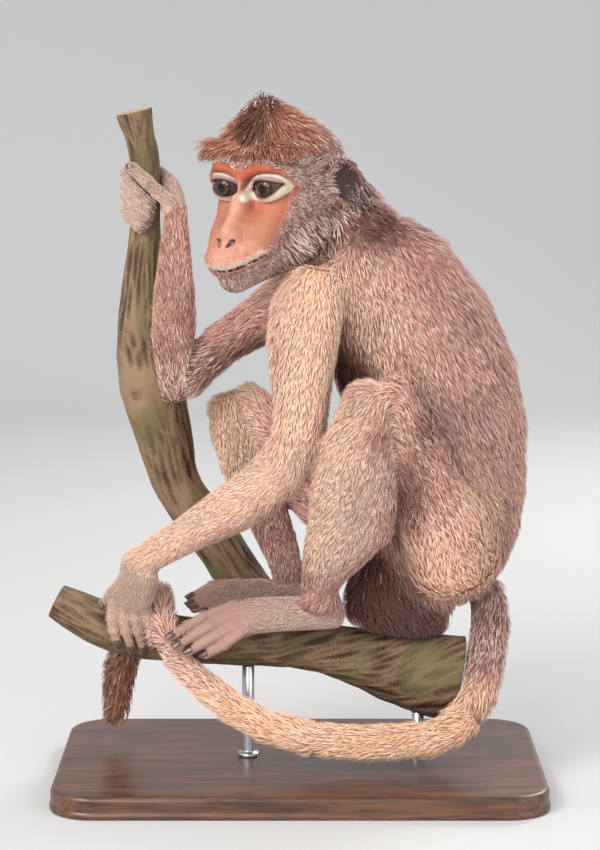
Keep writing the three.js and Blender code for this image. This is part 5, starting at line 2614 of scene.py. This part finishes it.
        # depth: how much painted shade darkens the root, more under long hair and less under the pale marks'
        # painted highlight.
        strand[..., 3] = (rise(grown.length, 1, 10) * (0.85 - 0.5 * marks["pelt"][:, 2]))[:, None]
        layers = {title: np.repeat(values, size, 0) for title, values in marks.items()}
        layers["strand"] = strand.reshape(-1, 4)
        made = build_mesh(name, points.reshape(-1, 3), faces, layers)
        patch_size = 0.003  # of one tuft on the unwrap
        patch = np.stack([np.tile([0, 1, 0.5], rings), np.repeat(share[:-1:3], 3)], -1)
        patch = np.concatenate([patch, [[0.5, 1.0]]]) * patch_size
        flat = (self.unwrapped(roots)[:, None] + patch[None]).reshape(-1, 2)
        unwrap = made.data.uv_layers.new(name="OFBake")
        unwrap.data.foreach_set("uv", flat[faces.ravel()].astype(np.float32).ravel())
        return settle(made, material)

    def build(self, points: Array, quads: Array, material: bpy.types.Material) -> None:
        """Makes every piece of the coat.

        Args:
            points: The points of the skin's fine mesh.
            quads: Its faces.
            material: What the hair is made of.
        """
        roots, normals, grown = self.sow(points, quads)
        LOG.info("coat: %d tufts", len(roots))
        own = self.figure.owners(roots)
        groups = {"coat_head": ["head", "ear_left", "ear_right"]}
        for part in PARTS:
            groups.setdefault(part.coat, []).append(part.node)
        for name, nodes in groups.items():
            here = np.flatnonzero(np.isin(own, [FLESH.index(node) for node in nodes]))
            rings = 3 if name in ("coat_head", "coat_neck") else 2
            limit = self.triangles // len(self.faces(rings))
            pieces = max(1, math.ceil(len(here) / limit))
            order = here[np.argsort(roots[here, 2])]
            for k, chosen in enumerate(np.array_split(order, pieces)):
                title = name if pieces == 1 else f"{name}_{k + 1}"
                picked = Growth(**{key: values[chosen] for key, values in vars(grown).items()})
                self.piece(title, roots[chosen], normals[chosen], picked, rings, material,
                           "tail" if name == "coat_tail" else "coat")


# ---------------------------------------------------------------- perch and stand


def spline(stations: Array, count: int) -> Array:
    """Stations spaced evenly along a Catmull-Rom curve through the given ones.

    Args:
        stations: Rows of a place and any other numbers that change along the curve.
        count: How many stations are wanted.

    Returns:
        The rows.
    """
    knots = np.concatenate([[2 * stations[0] - stations[1]], stations, [2 * stations[-1] - stations[-2]]])
    fine = []
    share = np.linspace(0, 1, 40, endpoint=False)[:, None]
    for a, b, c, d in zip(knots[:-3], knots[1:-2], knots[2:-1], knots[3:]):
        fine.append(0.5 * (2 * b + (c - a) * share + (2 * a - 5 * b + 4 * c - d) * share ** 2
                           + (3 * b - a - 3 * c + d) * share ** 3))
    fine = np.concatenate([*fine, stations[-1:]])
    run = np.concatenate([[0], np.cumsum(np.linalg.norm(np.diff(fine[:, :3], axis=0), axis=1))])
    even = np.linspace(0, run[-1], count)
    return np.stack([np.interp(even, run, column) for column in fine.T], -1)


@dataclass(frozen=True)
class Wood:
    """A cut length of branch with furrowed bark, knots and sawn ends.

    Attributes:
        name: The piece's name.
        node: The CAD node that it replaces.
        stations: Places along its middle and the radius at each.
        aside: A direction that the wood never runs in, from which the bark's turn is counted.
        knots: Swellings: share of the length, degrees round, and size.
        rows: Rings along the bark.
        columns: Points round each ring.
        furrow: Depth of the furrows.
        twist: Millimetres in which the furrows turn by one radian, beyond the straight length.
        straight: Length over which the furrows run straight.
    """

    name: str
    node: str
    stations: tuple[tuple[float, float, float, float], ...]
    aside: tuple[float, float, float]
    knots: tuple[tuple[float, float, float], ...] = ()
    rows: int = 330
    columns: int = 120
    furrow: float = 1.5
    twist: float = 400.0
    straight: float = 0.0

    def relief(self, run: Array, turn: Array, radius: Array) -> Array:
        """How far the bark stands in from its outline: furrows that run lengthwise, cracks and knots.

        Args:
            run: Millimetres along the wood.
            turn: Radians round it.
            radius: Its radius.

        Returns:
            The depth at each place.
        """
        turned = turn + np.clip(run - self.straight, 0, None) / self.twist
        flat = np.stack([radius * np.cos(turned), radius * np.sin(turned), run / 7], -1)
        ridges = 1 - np.abs(ripple(flat, 9, 31))
        fine = ripple(flat * [1, 1, 1.6], 5, 32)
        across = ripple(np.stack([radius * np.cos(turn) / 3, radius * np.sin(turn) / 3, run], -1), 30, 33)
        depth = self.furrow * (0.62 - 0.55 * np.clip(ridges, -0.6, 1)) - 0.22 * fine - 0.25 * across
        length = float(run.max())
        for place, degrees, size in self.knots:
            aside = np.mod(turn - math.radians(degrees) + math.pi, 2 * math.pi) - math.pi
            apart = np.hypot(run - place * length, aside * radius * 0.9)
            swell = np.exp(-(apart / (1.7 * size)) ** 2) - 0.9 * np.exp(-(apart / (0.55 * size)) ** 2)
            rings = np.cos(apart * 1.9) * np.exp(-(apart / (1.5 * size)) ** 2)
            depth = depth - 0.26 * size * swell + 0.35 * rings
        return depth

    def build(self, material: bpy.types.Material) -> bpy.types.Object:
        """Makes the piece: rings of bark between two sawn ends.

        Args:
            material: What it is made of.

        Returns:
            The piece.
        """
        line = spline(np.array(self.stations), self.rows)
        ahead = unit(np.gradient(line[:, :3], axis=0))
        first = unit(np.cross(ahead, self.aside))
        second = np.cross(ahead, first)
        run = np.linspace(0, 1, self.rows) * np.linalg.norm(np.diff(line[:, :3], axis=0), axis=1).sum()
        turn = np.linspace(0, 2 * math.pi, self.columns, endpoint=False)
        radius = line[:, 3:]
        depth = self.relief(run[:, None] + 0 * turn, turn + 0 * run[:, None], radius)
        reach = radius * (1 + 0.035 * np.sin(2 * turn + run[:, None] / 90)) - depth - 0.4
        spot = first[:, None] * np.cos(turn)[:, None] + second[:, None] * np.sin(turn)[:, None]
        bark = line[:, None, :3] + spot * reach[..., None]
        height = np.clip(0.75 - depth / (2 * self.furrow), 0, 1)
        shares = np.array([0.12, 0.3, 0.5, 0.7, 0.88, 0.97])
        rings, layer = [], []
        for end, order in ((0, slice(None)), (-1, slice(None, None, -1))):
            out = ahead[end] * (-1 if end == 0 else 1)
            face = line[end, :3] + spot[end] * (reach[end][None, :] * shares[order][:, None])[..., None]
            face = face + out * (0.9 - 0.35 * (shares[order][:, None, None] > 0.95))
            rings.append(face)
            flat = np.zeros(face.shape[:2] + (4,))
            flat[..., 0] = 1
            flat[..., 1] = np.broadcast_to(shares[order][:, None] * float(line[end, 3]) / 40, face.shape[:2])
            layer.append(flat)
        side = np.zeros(bark.shape[:2] + (4,))
        side[..., 2] = height
        side[..., 3] = 0.5 + 0.5 * np.clip(ripple(bark, 60, 41), -1, 1)
        grid = np.concatenate([rings[0], bark, rings[1]])
        points, faces = capped(grid)
        layer = np.concatenate([layer[0], side, layer[1]]).reshape(-1, 4)
        middles = np.array([[1, 0, 0, 0], [1, 0, 0, 0]], float)
        layers = {"wood": np.concatenate([layer, middles])}
        piece = build_mesh(self.name, points, outward(points, faces), layers)
        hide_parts(self.node)
        return settle(piece, material)


PERCH = (
    Wood("bark_branch", "perch_branch", (
        (-197, 6, 145, 15), (-166, 3, 130, 19), (-130, 0, 119, 20), (-66, 0, 113, 19.5), (0, 2, 109, 20),
        (42, 4, 101, 24), (76, 5, 91, 30), (106, 6, 84, 34), (128, 6, 80, 36)),
        (0, 0, 1), ((0.16, 200, 9), (0.55, 235, 8), (0.83, 190, 13)), twist=48.0, straight=185.0),
    Wood("bark_limb", "perch_limb", (
        (18, 8, 104, 18), (-12, 48, 112, 19), (-40, 68, 138, 21), (-68, 66, 181, 21), (-100, 60, 230, 20.5),
        (-112, 58, 274, 24), (-123, 55, 326, 26), (-129, 51, 361, 21), (-128, 47, 390, 17.5),
        (-127, 43, 419, 14.5), (-125, 41, 442, 12.5), (-124, 40, 476, 12), (-125, 39, 500, 12.5),
        (-129, 38, 520, 12.5), (-133, 37, 538, 15.5)),
        (1, 0, 0), ((0.36, 200, 9), (0.56, 150, 12), (0.67, 215, 8))),
)


@dataclass(frozen=True)
class Base:
    """The display stand: a low slab with rounded corners and a moulded edge.

    Attributes:
        corner: Radius of its corners.
        round_off: Radius of its upper edge.
        columns: Points round its outline for each corner.
    """

    corner: float = 36.0
    round_off: float = 4.0
    columns: int = 24

    def build(self, material: bpy.types.Material) -> bpy.types.Object:
        """Makes the slab over the CAD node's box: its outline, set in by the edge's profile at each level.

        Args:
            material: What it is made of.

        Returns:
            The piece.
        """
        low, high = (np.array(corner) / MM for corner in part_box("stand_base"))
        half = (high - low)[:2] / 2
        middle = (high + low)[:2] / 2
        turn = np.linspace(0, math.pi / 2, self.columns)
        arcs = [turn + k * math.pi / 2 for k in range(4)]
        signs = [(1, 1), (-1, 1), (-1, -1), (1, -1)]
        outline = np.concatenate([np.stack([np.cos(arc), np.sin(arc)], -1) for arc in arcs])
        centres = np.concatenate([np.tile((half - self.corner) * sign, (self.columns, 1)) for sign in signs])
        top = float(high[2])
        bend = np.linspace(0, math.pi / 2, 8)
        inset = [30, 2.0, 0.8, 0.2, 0.2, 1.0, 1.0, *(1.0 + self.round_off * (1 - np.cos(bend))), 6.5, 8, 30]
        curve = top - self.round_off + self.round_off * np.sin(bend)
        level = [0, 0, 0.25, 1.0, 5.0, 5.4, 6.2, *curve, top, top, top]
        rings = []
        for edge, height in zip(inset, level):
            flat = middle + centres + outline * (self.corner - edge)
            rings.append(np.concatenate([flat, np.full((len(flat), 1), height)], 1))
        points, faces = capped(np.array(rings))
        piece = build_mesh("base_slab", points, outward(points, faces))
        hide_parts("stand_base")
        return settle(piece, material)


@dataclass(frozen=True)
class Post:
    """A round rod from the stand to the branch, with a collar at its foot.

    Attributes:
        name: The piece's name.
        node: The CAD node that it replaces.
        collar: Radius of the collar.
        columns: Points round it.
    """

    name: str
    node: str
    collar: float = 8.5
    columns: int = 48

    def build(self, material: bpy.types.Material) -> bpy.types.Object:
        """Makes the rod over the CAD node's box: a profile of radius and height, turned round its middle.

        Args:
            material: What it is made of.

        Returns:
            The piece.
        """
        low, high = (np.array(corner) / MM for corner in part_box(self.node))
        radius = float(high[0] - low[0]) / 2
        foot, head = float(low[2]), float(high[2])
        profile = [(self.collar - 1.5, foot), (self.collar - 0.2, foot), (self.collar, foot + 0.3),
                   (self.collar, foot + 2.6), (self.collar - 0.4, foot + 3.0), (radius + 0.8, foot + 3.4),
                   (radius + 0.1, foot + 3.9), (radius, foot + 4.6), (radius, (foot + head) / 2),
                   (radius, head - 0.4), (radius - 0.4, head), (radius - 1.5, head)]
        turn = np.linspace(0, 2 * math.pi, self.columns, endpoint=False)
        centre = (low + high)[:2] / 2
        rings = [np.stack([centre[0] + r * np.cos(turn), centre[1] + r * np.sin(turn), z + 0 * turn], -1)
                 for r, z in profile]
        points, faces = capped(np.array(rings))
        piece = build_mesh(self.name, points, outward(points, faces))
        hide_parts(self.node)
        return settle(piece, material)


# ---------------------------------------------------------------- studio


@dataclass(frozen=True)
class Studio:
    """A pale floor that turns up into a backdrop, soft lamps, and the camera.

    Attributes:
        camera: Where the camera stands.
        target: The place it looks at.
        focal: Its focal length on a sensor 36 mm high.
    """

    camera: tuple = (0.0, -1980.5, 568.3)
    target: tuple = (0.0, 0.0, 290.0)
    focal: float = 105.88

    def lamp(self, name: str, place: tuple, size: float, watts: float, tint: Colour) -> None:
        """Adds a square lamp that faces the target.

        Args:
            name: The lamp's name.
            place: Where it stands.
            size: Length of its sides.
            watts: Its power.
            tint: Its colour.
        """
        light = bpy.data.lights.new(name, "AREA")
        light.shape = "SQUARE"
        light.size = size * MM
        light.energy = watts
        light.color = tint
        holder = bpy.data.objects.new(name, light)
        bpy.context.scene.collection.objects.link(holder)
        holder.location = np.array(place) * MM
        holder.rotation_euler = self.facing(place, self.target)

    def facing(self, place: tuple, target: tuple) -> mathutils.Euler:
        """The turn that points an object's -Z from a place to a target."""
        way = mathutils.Vector(np.array(target, float) - np.array(place, float))
        return way.to_track_quat("-Z", "Y").to_euler()

    def floor(self) -> None:
        """Adds the floor and backdrop as one smooth sheet."""
        turn = np.linspace(0, math.pi / 2, 24)
        depth = np.concatenate([[-6000], 2200 + 900 * np.sin(turn), [3100]])
        height = np.concatenate([[0], 900 - 900 * np.cos(turn), [6000]])
        wide = np.array([-6000.0, 6000.0])
        sheet = np.stack([np.broadcast_to(wide, (len(depth), 2)), np.repeat(depth[:, None], 2, 1),
                          np.repeat(height[:, None], 2, 1)], -1)
        points = sheet.reshape(-1, 3)
        faces = grid_faces(len(depth), 2, closed=False)
        piece = build_mesh("studio_floor", points, faces)
        shader = Shader("studio_floor", Roughness=0.85, Specular_IOR_Level=0.2)
        colour = shader.blend(shader.noise(900, 2), (0.575, 0.57, 0.565), (0.60, 0.595, 0.59))
        piece.data.materials.append(shader.dress(Base_Color=colour))

    def build(self) -> None:
        """Sets up floor, lamps, sky and camera."""
        self.floor()
        self.lamp("key", (-1050, -1250, 1300), 850, 31, (1.0, 0.955, 0.90))
        self.lamp("glint", (-520, -2100, 860), 260, 10, (1.0, 0.98, 0.95))
        self.lamp("fill", (1900, -1500, 900), 1800, 17, (0.94, 0.97, 1.0))
        self.lamp("rim", (1100, 1500, 1500), 900, 26, (1.0, 0.98, 0.95))
        scene = bpy.context.scene
        scene.world = bpy.data.worlds.new("studio")
        scene.world.use_nodes = True
        sky = scene.world.node_tree.nodes["Background"]
        sky.inputs["Color"].default_value = (0.92, 0.96, 1.0, 1)
        sky.inputs["Strength"].default_value = 0.86
        scene.view_settings.view_transform = "Standard"
        lens = bpy.data.cameras.new("camera")
        lens.lens = self.focal
        lens.sensor_fit = "AUTO"
        lens.clip_end = 20
        camera = bpy.data.objects.new("camera", lens)
        scene.collection.objects.link(camera)
        camera.location = np.array(self.camera) * MM
        camera.rotation_euler = self.facing(self.camera, self.target)
        scene.camera = camera


def main() -> None:
    """Builds the model and reports each piece."""
    logging.basicConfig(level=logging.INFO, format="%(message)s")
    began = time.perf_counter()
    for spare in [thing for thing in bpy.data.objects if thing.name in ("Cube", "Light", "Camera")]:
        bpy.data.objects.remove(spare)
    head = Head()
    digits = [digit for paw in paws() for digit in paw.digits()]
    figure = Figure(head, digits)
    LOG.info("fields after %.1f s", time.perf_counter() - began)
    marks = Markings(figure)
    hide = Hide()
    points, quads = figure.lattice.surface(figure.skin)
    Skin(figure, marks).build(points, quads, SkinFinish(hide).material())
    LOG.info("skin after %.1f s", time.perf_counter() - began)
    Coat(figure, marks).build(points, quads, CoatFinish(hide).material())
    LOG.info("coat after %.1f s", time.perf_counter() - began)
    eye = EyeFinish().material()
    Eyes(head).build(1, "eyeball_left", eye)
    Eyes(head).build(-1, "eyeball_right", eye)
    Nails().build(digits, NailFinish().material())
    bark = BarkFinish().material()
    for wood in PERCH:
        wood.build(bark)
    Base().build(StandFinish().material())
    steel = SteelFinish().material()
    Post("post_rear", "stand_rod_rear").build(steel)
    Post("post_front", "stand_rod_front").build(steel)
    Studio().build()
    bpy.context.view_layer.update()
    LOG.info("done after %.1f s", time.perf_counter() - began)


if __name__ == "__main__":
    main()
